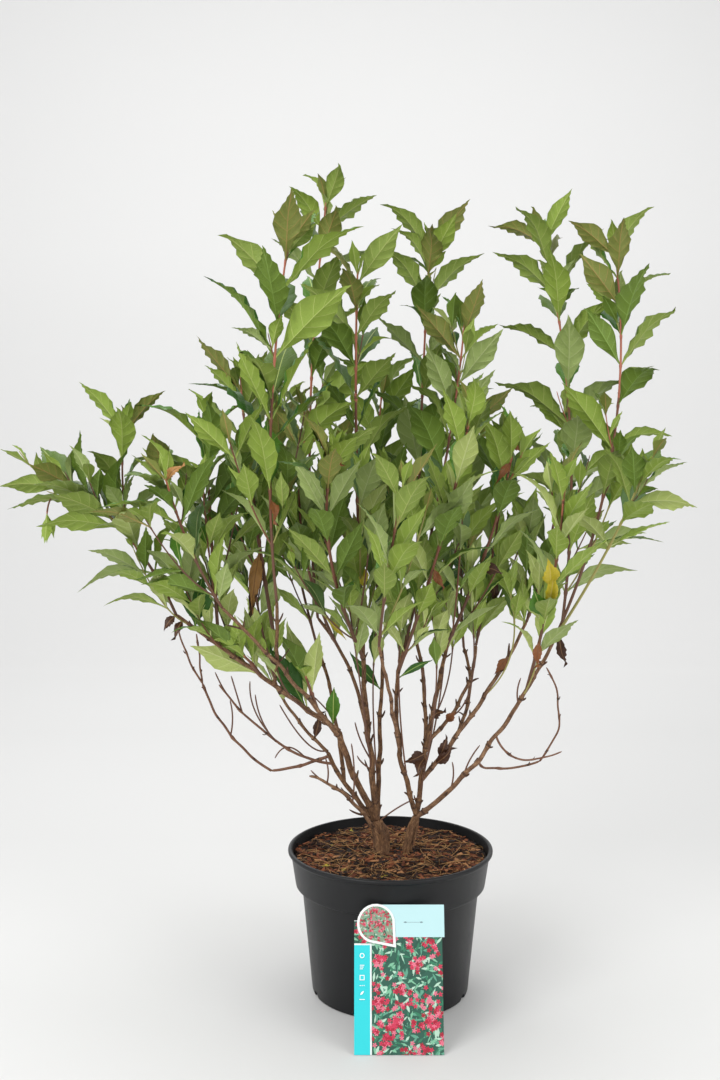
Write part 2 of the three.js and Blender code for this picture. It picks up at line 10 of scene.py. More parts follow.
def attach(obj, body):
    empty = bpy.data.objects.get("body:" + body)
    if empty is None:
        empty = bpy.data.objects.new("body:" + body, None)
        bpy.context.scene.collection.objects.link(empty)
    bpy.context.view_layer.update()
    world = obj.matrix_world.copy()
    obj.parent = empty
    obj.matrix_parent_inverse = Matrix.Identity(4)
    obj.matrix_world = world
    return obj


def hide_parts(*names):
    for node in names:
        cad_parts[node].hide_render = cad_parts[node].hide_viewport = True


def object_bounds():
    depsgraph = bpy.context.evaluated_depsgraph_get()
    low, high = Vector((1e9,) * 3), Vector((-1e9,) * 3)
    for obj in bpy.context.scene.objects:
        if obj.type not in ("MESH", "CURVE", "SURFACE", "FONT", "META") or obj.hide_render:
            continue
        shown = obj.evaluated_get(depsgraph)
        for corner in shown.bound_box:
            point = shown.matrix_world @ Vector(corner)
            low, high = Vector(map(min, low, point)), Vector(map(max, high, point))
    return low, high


# A weigela bush in its nursery pot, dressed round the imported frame. Metres, +Z up, front towards -Y.
# The limbs and the leafy shoots follow the same curves and the same growing rule as the solids.
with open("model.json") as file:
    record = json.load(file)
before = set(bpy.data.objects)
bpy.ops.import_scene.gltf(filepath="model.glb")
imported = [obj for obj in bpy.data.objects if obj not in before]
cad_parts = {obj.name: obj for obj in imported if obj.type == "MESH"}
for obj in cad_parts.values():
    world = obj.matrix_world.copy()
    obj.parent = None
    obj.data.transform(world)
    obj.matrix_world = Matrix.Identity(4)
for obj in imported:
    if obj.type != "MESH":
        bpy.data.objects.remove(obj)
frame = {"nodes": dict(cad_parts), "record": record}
cadBox = [list(corner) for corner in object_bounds()]
boxLow, boxHigh = [np.array(corner) for corner in cadBox]
slotOf = {row["node"]: row["material_slot"] for row in frame["record"]["subparts"]}
up = Vector((0, 0, 1))
across = Vector((1, 0, 0))
fullTurn = 2 * math.pi


# Numbers, colours and small helpers

def between(low, high, share):
    return low + (high - low) * share


def milli(values):
    # millimetres to metres
    return tuple(value / 1000 for value in values)


def spoke(turn, first, second):
    # turned from the first direction towards the second
    return first * math.cos(turn) + second * math.sin(turn)


def ring(count, first=0.0):
    return [first + fullTurn * i / count for i in range(count)]


def paint(code):
    # "#rrggbb" as the linear colour that a socket wants
    parts = [int(code[i:i + 2], 16) / 255 for i in (1, 3, 5)]
    return (*[p / 12.92 if p <= 0.04045 else ((p + 0.055) / 1.055) ** 2.4 for p in parts], 1)


class Dice:
    # the same run of numbers each time for the same seed
    def __init__(self, seed):
        self.state = seed
        for _ in range(4):
            self.roll()

    def roll(self):
        self.state = (self.state * 1664525 + 1013904223) % 2 ** 32
        return self.state / 2 ** 32

    def __call__(self, low, high):
        return between(low, high, self.roll())

    def pick(self, options):
        return options[int(self(0, len(options))) % len(options)]


# another number here gives another plant, or other chips on the bed
seeds = {"pairs": 401, "thin": 431, "low": 451, "sprouts": 501, "bark": 900, "stems": 700, "leaves": 300,
         "cover": 77, "setLeaves": 41, "card": 63}


def stand(name, data):
    # a new object in the scene
    piece = bpy.data.objects.new(name, data)
    bpy.context.scene.collection.objects.link(piece)
    return piece


def settle(piece, slot, *nodes):
    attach(piece, "root")
    if nodes:
        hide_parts(*nodes)


class Heap:
    # gathers many small shapes into one joined mesh
    def __init__(self):
        self.places, self.loops, self.sizes, self.kinds, self.rims, self.grains = ([] for _ in range(6))
        self.count = 0

    def add(self, places, loops, sizes, kinds=0, rim=None, grain=None):
        self.places.append(np.asarray(places, float))
        self.loops.append(np.asarray(loops, int) + self.count)
        self.sizes.append(np.asarray(sizes, int))
        self.kinds.append(np.broadcast_to(kinds, len(sizes)))
        self.rims.append(np.zeros(len(places), bool) if rim is None else rim)
        self.grains.append(np.zeros((len(places), 3)) if grain is None else grain)
        self.count += len(places)

    def build(self, name, materials, slot, replaced=(), smooth=True):
        mesh = bpy.data.meshes.new(name)
        places, loops, sizes, kinds, rim, grain = [
            np.concatenate(part)
            for part in (self.places, self.loops, self.sizes, self.kinds, self.rims, self.grains)]
        mesh.vertices.add(len(places))
        mesh.vertices.foreach_set("co", places.ravel())
        mesh.loops.add(len(loops))
        mesh.loops.foreach_set("vertex_index", loops)
        mesh.polygons.add(len(sizes))
        mesh.polygons.foreach_set("loop_start", np.cumsum(sizes) - sizes)
        mesh.polygons.foreach_set("material_index", kinds)
        mesh.polygons.foreach_set("use_smooth", np.full(len(sizes), smooth))
        mesh.update(calc_edges=True)
        if rim.any():
            ends = np.empty(len(mesh.edges) * 2, int)
            mesh.edges.foreach_get("vertices", ends)
            sharp = mesh.attributes.new("sharp_edge", "BOOLEAN", "EDGE")
            sharp.data.foreach_set("value", rim[ends].reshape(-1, 2).all(axis=1))
        if grain.any():
            mesh.attributes.new("grain", "FLOAT_VECTOR", "POINT").data.foreach_set("vector", grain.ravel())
        mesh.validate()
        for material in materials:
            mesh.materials.append(material)
        settle(stand(name, mesh), slot, *replaced)


# Shader maths: a wire is a socket that can be added, multiplied and so on

class Wire:
    def __init__(self, shader, socket):
        self.shader = shader
        self.socket = socket

    def maths(self, operation, *values):
        return self.shader.node("ShaderNodeMath", {"operation": operation}, dict(enumerate(values)))

    def __add__(self, other):
        return self.maths("ADD", self, other)

    def __sub__(self, other):
        return self.maths("SUBTRACT", self, other)

    def __rsub__(self, other):
        return self.maths("SUBTRACT", other, self)

    def __mul__(self, other):
        return self.maths("MULTIPLY", self, other)

    __radd__ = __add__
    __rmul__ = __mul__


class Shader:
    def __init__(self, name, colour, roughness, **more):
        self.material = bpy.data.materials.new(name)
        self.material.use_nodes = True
        self.tree = self.material.node_tree
        self.surface = self.tree.nodes["Principled BSDF"]
        self.surface.inputs["Base Color"].default_value = paint(colour)
        self.surface.inputs["Roughness"].default_value = roughness
        for socket, value in more.items():
            self.surface.inputs[socket.replace("_", " ")].default_value = value

    def node(self, kind, settings, inputs, output=0):
        made = self.tree.nodes.new(kind)
        for key, value in settings.items():
            if key == "stops":
                ramp = made.color_ramp
                while len(ramp.elements) < len(value):
                    ramp.elements.new(0.5)
                for element, (place, colour) in zip(ramp.elements, value):
                    element.position = place
                    element.color = paint(colour)
            else:
                setattr(made, key, value)
        for key, value in inputs.items():
            if isinstance(value, Wire):
                self.tree.links.new(value.socket, made.inputs[key])
            else:
                made.inputs[key].default_value = value
        return Wire(self, made.outputs[output])

    def place(self):
        return self.node("ShaderNodeTexCoord", {}, {}, "Object")

    def grain(self):
        # round and along a limb, kept on its mesh
        return self.node("ShaderNodeAttribute", {"attribute_name": "grain"}, {}, "Vector")

    def stretched(self, vector, scale):
        return self.node("ShaderNodeVectorMath", {"operation": "MULTIPLY"}, {0: vector, 1: scale})

    def noise(self, vector, scale, detail=3, roughness=0.5):
        inputs = {"Vector": vector, "Scale": scale, "Detail": detail, "Roughness": roughness}
        return self.node("ShaderNodeTexNoise", {}, inputs)

    def cells(self, vector, scale):
        return self.node("ShaderNodeTexVoronoi", {}, {"Vector": vector, "Scale": scale}, "Distance")

    def step(self, value, low, high):
        # 0 below low, 1 above high
        return self.node("ShaderNodeMapRange", {"clamp": True}, {0: value, 1: low, 2: high, 3: 0.0, 4: 1.0})

    def tones(self, value, stops):
        return self.node("ShaderNodeValToRGB", {"stops": stops}, {"Fac": value})

    def overlay(self, factor, colour, code):
        settings = {"data_type": "RGBA", "blend_type": "MIX"}
        return self.node("ShaderNodeMix", settings, {0: factor, 6: colour, 7: paint(code)}, 2)

    def feed(self, socket, wire):
        self.tree.links.new(wire.socket, self.surface.inputs[socket])

    def relief(self, height, depth, strength=1.0):
        bump = self.node("ShaderNodeBump", {}, {"Height": height, "Distance": depth, "Strength": strength})
        self.feed("Normal", bump)


skins = {
    # scale, detail and mix of one fine noise, least roughness and its range, depth and strength of relief
    "stem": {"noise": (1800, 3, 0.5), "rough": (0.42, 0.25), "relief": (0.0003, 1), "stretch": (1, 1, 0.15)},
    "shred": {"noise": (900, 4, 0.65), "rough": (0.8, 0.2), "relief": (0.001, 0.5)},
    "fibre": {"noise": (900, 4, 0.65), "rough": (0.8, 0.2), "relief": (0.001, 0.3)},
    "print": {"noise": (700, 2, 0.5), "rough": (0.3, 0.16), "relief": (0.00008, 1), "coat": 0.3},
}


def skinShader(kind, name, colour):
    skin = skins[kind]
    shader = Shader(name, colour, skin["rough"][0], Coat_Weight=skin.get("coat", 0))
    where = shader.stretched(shader.grain(), skin["stretch"]) if "stretch" in skin else shader.place()
    pores = shader.noise(where, *skin["noise"])
    shader.feed("Roughness", skin["rough"][0] + pores * skin["rough"][1])
    shader.relief(pores, *skin["relief"])
    return shader.material


# Camera, floor and light

view = {
    "place": (-0.043, -1.818, 0.8044), "tilt": 5.10,      # degrees down
    "focal": 1312.3, "pictureHeight": 1080,               # pixels
    "sensor": 36, "nearest": 0.01,
}


def makeCamera():
    camera = stand("camera", bpy.data.cameras.new("camera"))
    camera.location = view["place"]
    camera.rotation_euler = (math.radians(90 - view["tilt"]), 0, 0)
    camera.data.sensor_width = view["sensor"]
    camera.data.lens = view["focal"] / view["pictureHeight"] * view["sensor"]
    camera.data.clip_start = view["nearest"]
    bpy.context.scene.camera = camera


studio = {
    "sky": "#f1f1f2", "skyLight": 0.78,
    "lamps": {
        # name: (place, aim, width, height, watts)
        "front_left_softbox": ((-1.6, -1.9, 2.1), (0, 0, 0.6), 1.6, 1.6, 42),
        "front_right_softbox": ((1.9, -1.5, 1.5), (0, 0, 0.5), 1.4, 1.6, 17),
        "overhead_softbox": ((0.1, 0.3, 2.9), (0, 0, 0.5), 2.0, 2.0, 25),
        "back_softbox": ((-0.6, 1.7, 1.9), (0, 0, 0.7), 1.4, 1.2, 6),
        "wall_wash": ((0, 2.0, 2.7), (0, 3.4, 0.2), 3.0, 0.6, 9),
    },
}


def makeStudio():
    for name, (place, aim, width, height, watts) in studio["lamps"].items():
        lamp = bpy.data.lights.new(name, "AREA")
        lamp.shape = "RECTANGLE"
        lamp.size, lamp.size_y, lamp.energy = width, height, watts
        holder = stand(name, lamp)
        holder.location = place
        holder.rotation_euler = (Vector(aim) - Vector(place)).to_track_quat("-Z", "Y").to_euler()
    world = bpy.data.worlds.new("studio_air")
    world.use_nodes = True
    air = world.node_tree.nodes["Background"]
    air.inputs["Color"].default_value = paint(studio["sky"])
    air.inputs["Strength"].default_value = studio["skyLight"]
    bpy.context.scene.world = world
    bpy.context.scene.view_settings.view_transform = "Standard"


sweep = {
    "halfWidth": 4.0, "front": -4.0, "back": 2.4, "bend": 1.2, "top": 4.5, "steps": 12,
    # tones from the front of the floor back, and on up the wall: painted light and shade that even out how
    # the lamps fall, the floor painted darker but lighter at its front where the pot and card shade it, and
    # the wall painted lighter as it rises
    "floor": (-0.3, 2.4), "wall": (0.3, 1.5),
    "tones": ((0, "#dddddc"), (0.1, "#dadad9"), (0.18, "#d7d7d6"), (0.34, "#dadad9"), (0.5, "#e6e6e5"),
              (1, "#f0f0ef")),
}


def makeSweep():
    # the floor runs back and turns up into the wall in one soft bend
    bend, back = sweep["bend"], sweep["back"]
    turns = [math.pi / 2 * i / sweep["steps"] for i in range(sweep["steps"] + 1)]
    profile = [(sweep["front"], 0.0)]
    profile += [(back + bend * math.sin(turn), bend * (1 - math.cos(turn))) for turn in turns]
    profile.append((back + bend, sweep["top"]))
    mesh = bpy.data.meshes.new("studio_sweep")
    places = [(x, y, z) for y, z in profile for x in (-sweep["halfWidth"], sweep["halfWidth"])]
    faces = [(2 * i, 2 * i + 1, 2 * i + 3, 2 * i + 2) for i in range(len(profile) - 1)]
    mesh.from_pydata(places, [], faces)
    mesh.polygons.foreach_set("use_smooth", np.full(len(faces), True))
    paper = Shader("studio_paper", sweep["tones"][0][1], 0.85)
    place = paper.place()
    depth, height = [paper.node("ShaderNodeSeparateXYZ", {}, {0: place}, axis) for axis in ("Y", "Z")]
    along = paper.step(depth, *sweep["floor"]) * 0.5 + paper.step(height, *sweep["wall"]) * 0.5
    # the tones along the sweep are painted light and shade, set to even out the lamps
    paper.feed("Base Color", paper.tones(along, sweep["tones"]))
    paper.relief(paper.noise(place, 400), 0.0004, 0.2)
    mesh.materials.append(paper.material)
    floor = stand("studio_sweep", mesh)


makeCamera()
makeStudio()
makeSweep()
print("camera, studio and floor are up")


# Curves of limbs and shoots

class Bend:
    # starts at one point, passes the knee half way and ends at the tip
    steps = np.linspace(0, 1, 201)

    def __init__(self, start, knee, tip):
        start, knee, tip = Vector(start), Vector(knee), Vector(tip)
        self.points = (start, knee * 2 - start * 0.5 - tip * 0.5, tip)
        places = np.array([self.raw(t) for t in self.steps])
        chords = np.linalg.norm(np.diff(places, axis=0), axis=1)
        self.lengths = np.concatenate(([0], np.cumsum(chords)))
        self.length = float(self.lengths[-1])

    def raw(self, t):
        a, b, c = self.points
        return a * (1 - t) ** 2 + b * (2 * t * (1 - t)) + c * t * t

    def timeAt(self, share):
        return float(np.interp(share * self.length, self.lengths, self.steps))

    def at(self, share):
        return self.raw(self.timeAt(share))

    def heading(self, share):
        a, b, c = self.points
        t = self.timeAt(share)
        return ((b - a) * (1 - t) + (c - b) * t).normalized()

    def frames(self, shares):
        # centre, heading and two cross directions at each share, turned as little as possible
        headings = [self.heading(s) for s in shares]
        first = headings[0]
        least = min(abs(v) for v in first)
        axis = [i for i in range(3) if abs(first[i]) <= least][-1]
        normal = first.cross(first.cross(Vector([float(i == axis) for i in range(3)])).normalized())
        found = []
        for i, heading in enumerate(headings):
            if i:
                normal = headings[i - 1].rotation_difference(heading) @ normal
            found.append((self.at(shares[i]), heading, normal.copy(), heading.cross(normal)))
        return found


def ringFaces(rings, sides):
    # loops and sizes of a tube's quads with a cap at either end
    loops = []
    for i in range(rings - 1):
        for j in range(sides):
            a, b = i * sides + j, i * sides + (j + 1) % sides
            loops += [a, b, b + sides, a + sides]
    last = (rings - 1) * sides
    loops += [*range(sides)][::-1] + [*range(last, last + sides)]
    return loops, [4] * last + [sides, sides]


def tube(curve, radiusAt, sides, steps, wobble=0.0, offset=0.0, end=1, close=28):
    # corner places, faces and grain of a tube whose radius depends on the share along and the turn;
    # close is how many bends its wobble has to the metre
    shares = [i / steps for i in range(steps + 1)]
    places, grain = [], []
    for share, (centre, heading, normal, cross) in zip(shares, curve.frames(shares)):
        along = share * curve.length
        if wobble:
            sway = math.sin(math.pi * share) * wobble
            centre = centre + normal * (sway * noise.noise((along * close, offset, 0)))
            centre = centre + cross * (sway * noise.noise((along * close, offset, 7)))
        for turn in ring(sides):
            radius = radiusAt(share, turn) * (end if share == 1 else 1)
            places.append(centre + spoke(turn, normal, cross) * radius)
            grain.append((math.cos(turn) * radius, math.sin(turn) * radius, along + offset))
    return places, *ringFaces(steps + 1, sides), grain


def addTube(heap, *args, kind=0, **more):
    places, loops, sizes, grain = tube(*args, end=0.55, **more)
    heap.add(places, loops, sizes, kind, grain=np.array(grain))


# Canes, boughs and bare twigs, in millimetres. Each starts on another limb, or at a place of its own.
limbs = {
    # name: (limb it starts on, share of the way along that, knee, tip, radius at either end)
    "left_stool": (None, (-9, 4, 184), (-13, 5, 214), (-19, 5, 243), (11.5, 11.5)),
    "right_stool": (None, (22, 4, 184), (28, 3, 218), (37, 2, 250), (6, 8)),
    "low_stub": ("left_stool", 0.6, (-71, -30, 293), (-113, -40, 318), (4.5, 2.6)),
    "left_low_cane": ("left_stool", 0.9, (-61, 28, 283), (-90, 40, 332), (5, 4)),
    "left_main_cane": ("left_stool", 1, (-51, -15, 312), (-72, -30, 379), (6.6, 5.4)),
    "left_bough": ("left_main_cane", 1, (-168, -70, 458), (-286, -100, 552), (5.2, 3.2)),
    "left_twin_bough": ("left_main_cane", 0.9, (-134, -95, 464), (-221, -140, 567), (4.4, 2.9)),
    "left_stub": ("left_low_cane", 1, (-127, 60, 365), (-163, 80, 414), (3.6, 2.8)),
    "left_bare_twig": ("left_low_cane", 0.85, (-160, 12, 352), (-241, 0, 438), (2.6, 1.7)),
    "arc_low": ("left_low_cane", 0.95, (-130, 50, 309), (-172, 52, 301), (3, 2.5)),
    "arc_rise": ("arc_low", 1, (-229, 40, 356), (-267, 20, 437), (2.5, 2)),
    "arc_end_left": ("arc_rise", 1, (-287, 14, 475), (-299, 10, 517), (1.9, 1.4)),
    "arc_end_right": ("arc_rise", 1, (-270, 28, 470), (-276, 32, 505), (1.8, 1.4)),
    "centre_cane": ("left_stool", 1, (-33, -10, 390), (-39, -28, 505), (6.5, 3.8)),
    "centre_back_cane": ("left_stool", 0.95, (-14, 40, 370), (-10, 58, 462), (5.2, 3.4)),
    "centre_left_bough": ("centre_cane", 0.42, (-56, 46, 445), (-104, 60, 524), (4.2, 3.1)),
    "red_cane": ("left_bough", 0.42, (-152, -112, 505), (-151, -132, 575), (3.6, 3)),
    "back_left_cane": ("left_low_cane", 0.6, (-84, 92, 395), (-108, 112, 478), (4.2, 3.1)),
    "right_front_cane": ("right_stool", 1, (8, -30, 385), (16, -66, 498), (5, 3.3)),
    "right_front_fork": ("right_front_cane", 0.4, (-4, -66, 440), (-18, -104, 511), (4, 3)),
    "right_centre_cane": ("right_stool", 1, (58, 0, 390), (78, -24, 500), (5.4, 3.5)),
    "right_back_cane": ("right_centre_cane", 0.36, (48, 42, 425), (38, 72, 490), (4.2, 3.2)),
    "right_mid_bough": ("right_centre_cane", 0.42, (106, 50, 412), (127, 84, 480), (4.2, 3.1)),
    "right_bough": ("right_centre_cane", 0.2, (128, 22, 408), (196, 48, 520), (5, 3.2)),
    "right_low_bough": ("right_stool", 0.95, (138, -22, 358), (233, -42, 530), (5.2, 3.2)),
    "back_right_cane": ("right_bough", 0.3, (118, 95, 415), (112, 120, 470), (3.8, 3)),
    "loop_low": ("right_low_bough", 0.36, (150, 22, 309), (215, 30, 321), (2.2, 1.9)),
    "loop_rise": ("loop_low", 1, (241, 22, 388), (219, 2, 462), (1.8, 1.5)),
    "right_bare_twig": ("right_low_bough", 0.48, (178, -28, 338), (240, -10, 345), (2, 1.4)),
}
flares = {"left_stool": 0.25, "right_stool": 0.3}

# Leafy shoots: one that starts on another shoot belongs to that shoot's mass. `bare` is the share of
# the stem below the first pair of leaves, and `twigs` the number of pairs with side twigs.
shoots = {
    # name: (limb it starts on, share of the way along that, knee, tip, longest leaf, bare, twigs)
    "far_left_spray": ("left_bough", 1, (-345, -110, 655), (-428, -119, 732), 108, 0.27, 0),
    "far_left_upper": ("far_left_spray", 0.5, (-356, -88, 730), (-352, -82, 802), 88, 0.2, 0),
    "far_left_droop": ("far_left_spray", 0.9, (-437, -122, 714), (-448, -124, 686), 92, 0.3, 0),
    "left_front_spray": ("left_twin_bough", 1, (-258, -160, 645), (-286, -178, 735), 100, 0.1, 1),
    "left_middle_spray": ("left_bough", 0.75, (-243, -70, 680), (-250, -60, 815), 102, 0.22, 1),
    "left_tall_spray": ("left_bough", 0.36, (-190, 15, 680), (-212, 48, 872), 104, 0.34, 1),
    "left_low_spray": ("left_bough", 0.5, (-188, -86, 484), (-198, -100, 498), 118, 0.5, 0),
    "low_front_spray": ("left_twin_bough", 0.26, (-112, -74, 452), (-116, -88, 468), 122, 0.4, 0),
    "left_back_spray": ("left_stub", 1, (-200, 118, 570), (-204, 140, 735), 98, 0.4, 1),
    "red_shoot": ("red_cane", 1, (-156, -152, 795), (-132, -160, 1030), 122, 0.16, 1),
    "tall_back_shoot": ("centre_left_bough", 1, (-114, 50, 800), (-89, 40, 1118), 104, 0.1, 1),
    "centre_left_spray": ("centre_left_bough", 0.75, (-122, -10, 640), (-116, -30, 790), 96, 0.25, 1),
    "centre_shoot": ("centre_cane", 1, (-48, -48, 780), (-46, -52, 1008), 106, 0.03, 2),
    "front_left_spray": ("centre_cane", 0.9, (-82, -140, 640), (-74, -200, 770), 96, 0.12, 1),
    "front_centre_spray": ("right_front_fork", 1, (-8, -178, 615), (10, -215, 730), 92, 0.08, 1),
    "back_centre_spray": ("centre_back_cane", 1, (-20, 132, 660), (-10, 165, 850), 104, 0.06, 1),
    "back_left_spray": ("back_left_cane", 1, (-150, 165, 650), (-170, 185, 815), 104, 0.1, 1),
    "centre_right_shoot": ("right_back_cane", 1, (44, 76, 775), (56, 70, 1058), 106, 0.12, 2),
    "right_inner_shoot": ("right_front_cane", 1, (72, -30, 745), (102, 15, 950), 102, 0.04, 1),
    "light_shoot": ("right_front_cane", 0.88, (66, -135, 670), (98, -150, 828), 88, 0.08, 1),
    "right_low_spray": ("right_centre_cane", 1, (132, -62, 650), (158, -80, 764), 94, 0.06, 1),
    "right_middle_spray": ("right_mid_bough", 1, (156, 100, 640), (170, 96, 772), 98, 0.06, 1),
    "back_right_spray": ("back_right_cane", 1, (112, 170, 630), (130, 195, 810), 104, 0.1, 1),
    "right_back_spray": ("right_bough", 1, (240, 104, 650), (264, 122, 805), 98, 0.04, 1),
    "right_tall_shoot": ("right_low_bough", 1, (250, 20, 800), (214, 66, 1070), 110, 0.08, 1),
    "right_outer_shoot": ("right_low_bough", 0.92, (302, -22, 770), (308, 18, 1040), 106, 0.25, 1),
    "far_right_spray": ("right_low_bough", 0.96, (280, -88, 628), (324, -118, 738), 90, 0.58, 0),
    "right_front_spray": ("right_low_bough", 0.7, (205, -150, 610), (208, -200, 732), 90, 0.2, 0),
}
habits = {
    # pace: share of the usual distance between pairs; open: degrees by which the leaves stand out
    # further; turn: the first pair's turn round the stem, else by chance
    "far_left_spray": {"pace": 0.55},
    "far_left_droop": {"open": -20, "turn": 0},
    "left_low_spray": {"open": -12, "turn": 0},
    "low_front_spray": {"open": -22, "turn": 0},
    "far_right_spray": {"pace": 0.62, "open": 4, "turn": 0},
}
growth = {
    # ranges are for chance; spread, sag, pace and youth go from the foot of a stem to its tip
    "internode": 0.059, "pace": (1.1, 0.5), "paceRange": (0.85, 1.15), "spread": (46, 37),
    "spreadRange": (-9, 9), "sag": (0.32, 0.12), "sagRange": (0.6, 1.4), "youth": (0.24, 0.8),
    "sizeRange": (0.86, 1.1), "roll": (-28, 28), "turnRange": (-20, 20), "quarterRange": (-12, 12),
    "tries": (0, 20, -20, 40, -40), "start": 0.15, "clear": 0.0012, "root": 0.12, "endClear": 0.004,
    "firstSeed": 7, "seedStep": 12, "shootShare": 0.88, "tipRadius": 0.0012, "flareFade": 7,
    # the most coarse shapes, and the sides and length of a step of the coarse tubes
    "room": 9000,
    "coarse": {"shoot": (3, 0.075), "stool": (9, 0.048), "limb": (5, 0.048)},
}


def layOut():
    # the curve and radius of every limb and shoot, in the order they are listed
    found = {}
    for name, (on, at, knee, tip, thick, *_) in {**limbs, **shoots}.items():
        parent = found.get(on)
        start = parent["curve"].at(at) if parent else milli(at)
        if name in limbs:
            ends = milli(thick)
        else:
            ends = (parent["radius"](at) * growth["shootShare"], growth["tipRadius"])
        found[name] = {
            "curve": Bend(start, milli(knee), milli(tip)),
            "radius": lambda share, ends=ends, flare=flares.get(name, 0): (
                between(*ends, share) * (1 + flare * math.exp(-growth["flareFade"] * share))),
        }
    return found


laid = layOut()


# What is already there: coarse shapes that a new leaf or twig must not touch

class Crowd:
    def __init__(self, room):
        self.lows = np.empty((room, 3))
        self.highs = np.empty((room, 3))
        self.pieces = []

    def add(self, piece):
        index = len(self.pieces)
        self.lows[index], self.highs[index] = piece["low"], piece["high"]
        self.pieces.append(piece)

    def fits(self, mass, whole, free, carrier=None):
        # whole against the limbs and other masses, and without its root against its own mass
        if (whole["low"] < boxLow).any() or (whole["high"] > boxHigh).any():
            return False
        count = len(self.pieces)
        near = (self.lows[:count] <= whole["high"]) & (self.highs[:count] >= whole["low"])
        for index in np.nonzero(near.all(axis=1))[0]:
            other = self.pieces[index]
            if other["stemOf"] == mass or carrier and other["limb"] == carrier:
                continue
            mine, theirs = (free, other["free"]) if other["mass"] == mass else (whole, other)
            if mine["tree"].overlap(theirs["tree"]):
                return False
        return True


def coarse(places, loops, sizes, mass=None, stemOf=None, free=None, limb=None):
    corners = [tuple(p) for p in places]
    ends = np.cumsum(sizes)
    faces = [loops[end - size:end] for end, size in zip(ends, sizes)]
    return {"low": np.min(corners, axis=0), "high": np.max(corners, axis=0), "mass": mass, "stemOf": stemOf,
            "free": free, "limb": limb, "tree": BVHTree.FromPolygons(corners, faces)}


def coarseTube(curve, radiusAt, sides, steps, *tags):
    return coarse(*tube(curve, lambda share, turn: radiusAt(share), sides, steps)[:3], *tags)


leafForm = {
    "slimness": 0.2, "thick": 0.018, "middle": 0.44, "fold": 0.2, "lightFrom": (0.15, 0.8, 0.6),
    "lightPull": 0.85,
    # outlines as shares of the length and of the half width; the plain one is for short leaves
    "outline": ((0.46, 1), (0.74, 0.58)), "plain": ((0.46, 1),), "plainBelow": 0.104,
}


def coarseLeaf(leaf, start, grow, *tags):
    # an outline round a middle that is raised on both faces
    length, face = leaf["length"], leaf["face"]
    side = leaf["out"].cross(face).normalized()
    widest = length * leafForm["slimness"] + grow

    def midrib(share):
        return leaf["base"] + leaf["out"] * (length * share) - up * (0.5 * length * leaf["sag"] * share ** 2)

    def edge(share, width):
        return midrib(share) + side * (width * widest) + face * (abs(width) * widest * leafForm["fold"])

    half = leafForm["plain" if length < leafForm["plainBelow"] else "outline"]
    outline = [midrib(start), *[edge(s, w) for s, w in half], midrib(1 + grow / length),
               *[edge(s, -w) for s, w in reversed(half)]]
    rise = length * leafForm["thick"] / 2 + grow
    centre = midrib(leafForm["middle"])
    count, loops = len(outline), []
    for i in range(count):
        j = (i + 1) % count
        loops += [i, j, count, j, i, count + 1]
    return coarse([*outline, centre + face * rise, centre - face * rise], loops, [3] * (2 * count), *tags)


def leafOn(stem, share, turn, spread, lean, length, sag, reach=growth["start"]):
    # one leaf of a pair: where it leaves the stem, which way it points and faces; angles in degrees
    axis = stem["curve"].heading(share)
    first = (across - axis * across.dot(axis)).normalized()
    outward = spoke(math.radians(turn), first, axis.cross(first))
    out = spoke(math.radians(spread), axis, outward)
    face = axis + Vector(leafForm["lightFrom"]) * leafForm["lightPull"]
    face = Matrix.Rotation(math.radians(lean), 3, out) @ (face - out * face.dot(out)).normalized()
    base = stem["curve"].at(share) + out * (reach * stem["radius"](share))
    return {"base": base, "out": out, "face": face, "length": length, "sag": sag}


# Growing: the same rule and the same dice as the solids, and then finer sprouts

twigs = {
    # twigs in the axils of the rule's leaves, small sprouts, and slender twigs straight from the canes
    "side": {"spread": 30, "turnRange": (20, 40), "length": 0.115, "lengthRange": (0.7, 1.2),
             "shrink": 0.5, "kneeRise": 0.12, "rise": 0.5, "radius": (0.0016, 0.001), "bare": 0.4,
             "leafShare": 0.8},
    "sprout": {"spread": 30, "turnRange": (-25, 25), "length": 0.042, "lengthRange": (0.6, 1.3),
               "shrink": 0.5, "kneeRise": 0.16, "rise": 0.6, "radius": (0.001, 0.0007), "bare": 0.35,
               "pace": 0.42, "leafShare": 0.5, "open": -12},
    "low": {"spread": 24, "kneeRise": 0.26, "rise": 1, "radius": (0.0013, 0.0008), "bare": 0.3,
            "leafShare": 1, "open": -14, "pairs": 3},
    "thin": {"radius": (0.0016, 0.001), "bare": 0.7, "pace": 0.6, "open": -16},
}
# chance of another pair of leaves between two pairs, and of a sprout in an axil, by height
extraPairs = {"heights": (0.6, 0.85), "chance": (0.26, 0.14), "size": 0.42, "closer": 6, "clear": 0.0004,
              "turn": 45, "sag": (0.1, 0.3), "shake": (-8, 8)}
sprouting = {"heights": (0.55, 0.68, 0.85), "chance": (0.06, 0.48, 0.3), "fewer": 0.3, "longest": 1.1}
tuft = {
    # share along the stem, size and spread of each pair at a tip
    "pairs": ((0.985, 0.42, 26), (0.999, 0.28, 14)), "sizeRange": (0.85, 1.15), "spreadRange": (-6, 6),
    "roll": (-20, 20), "sag": 0.1, "age": 1.2,
}

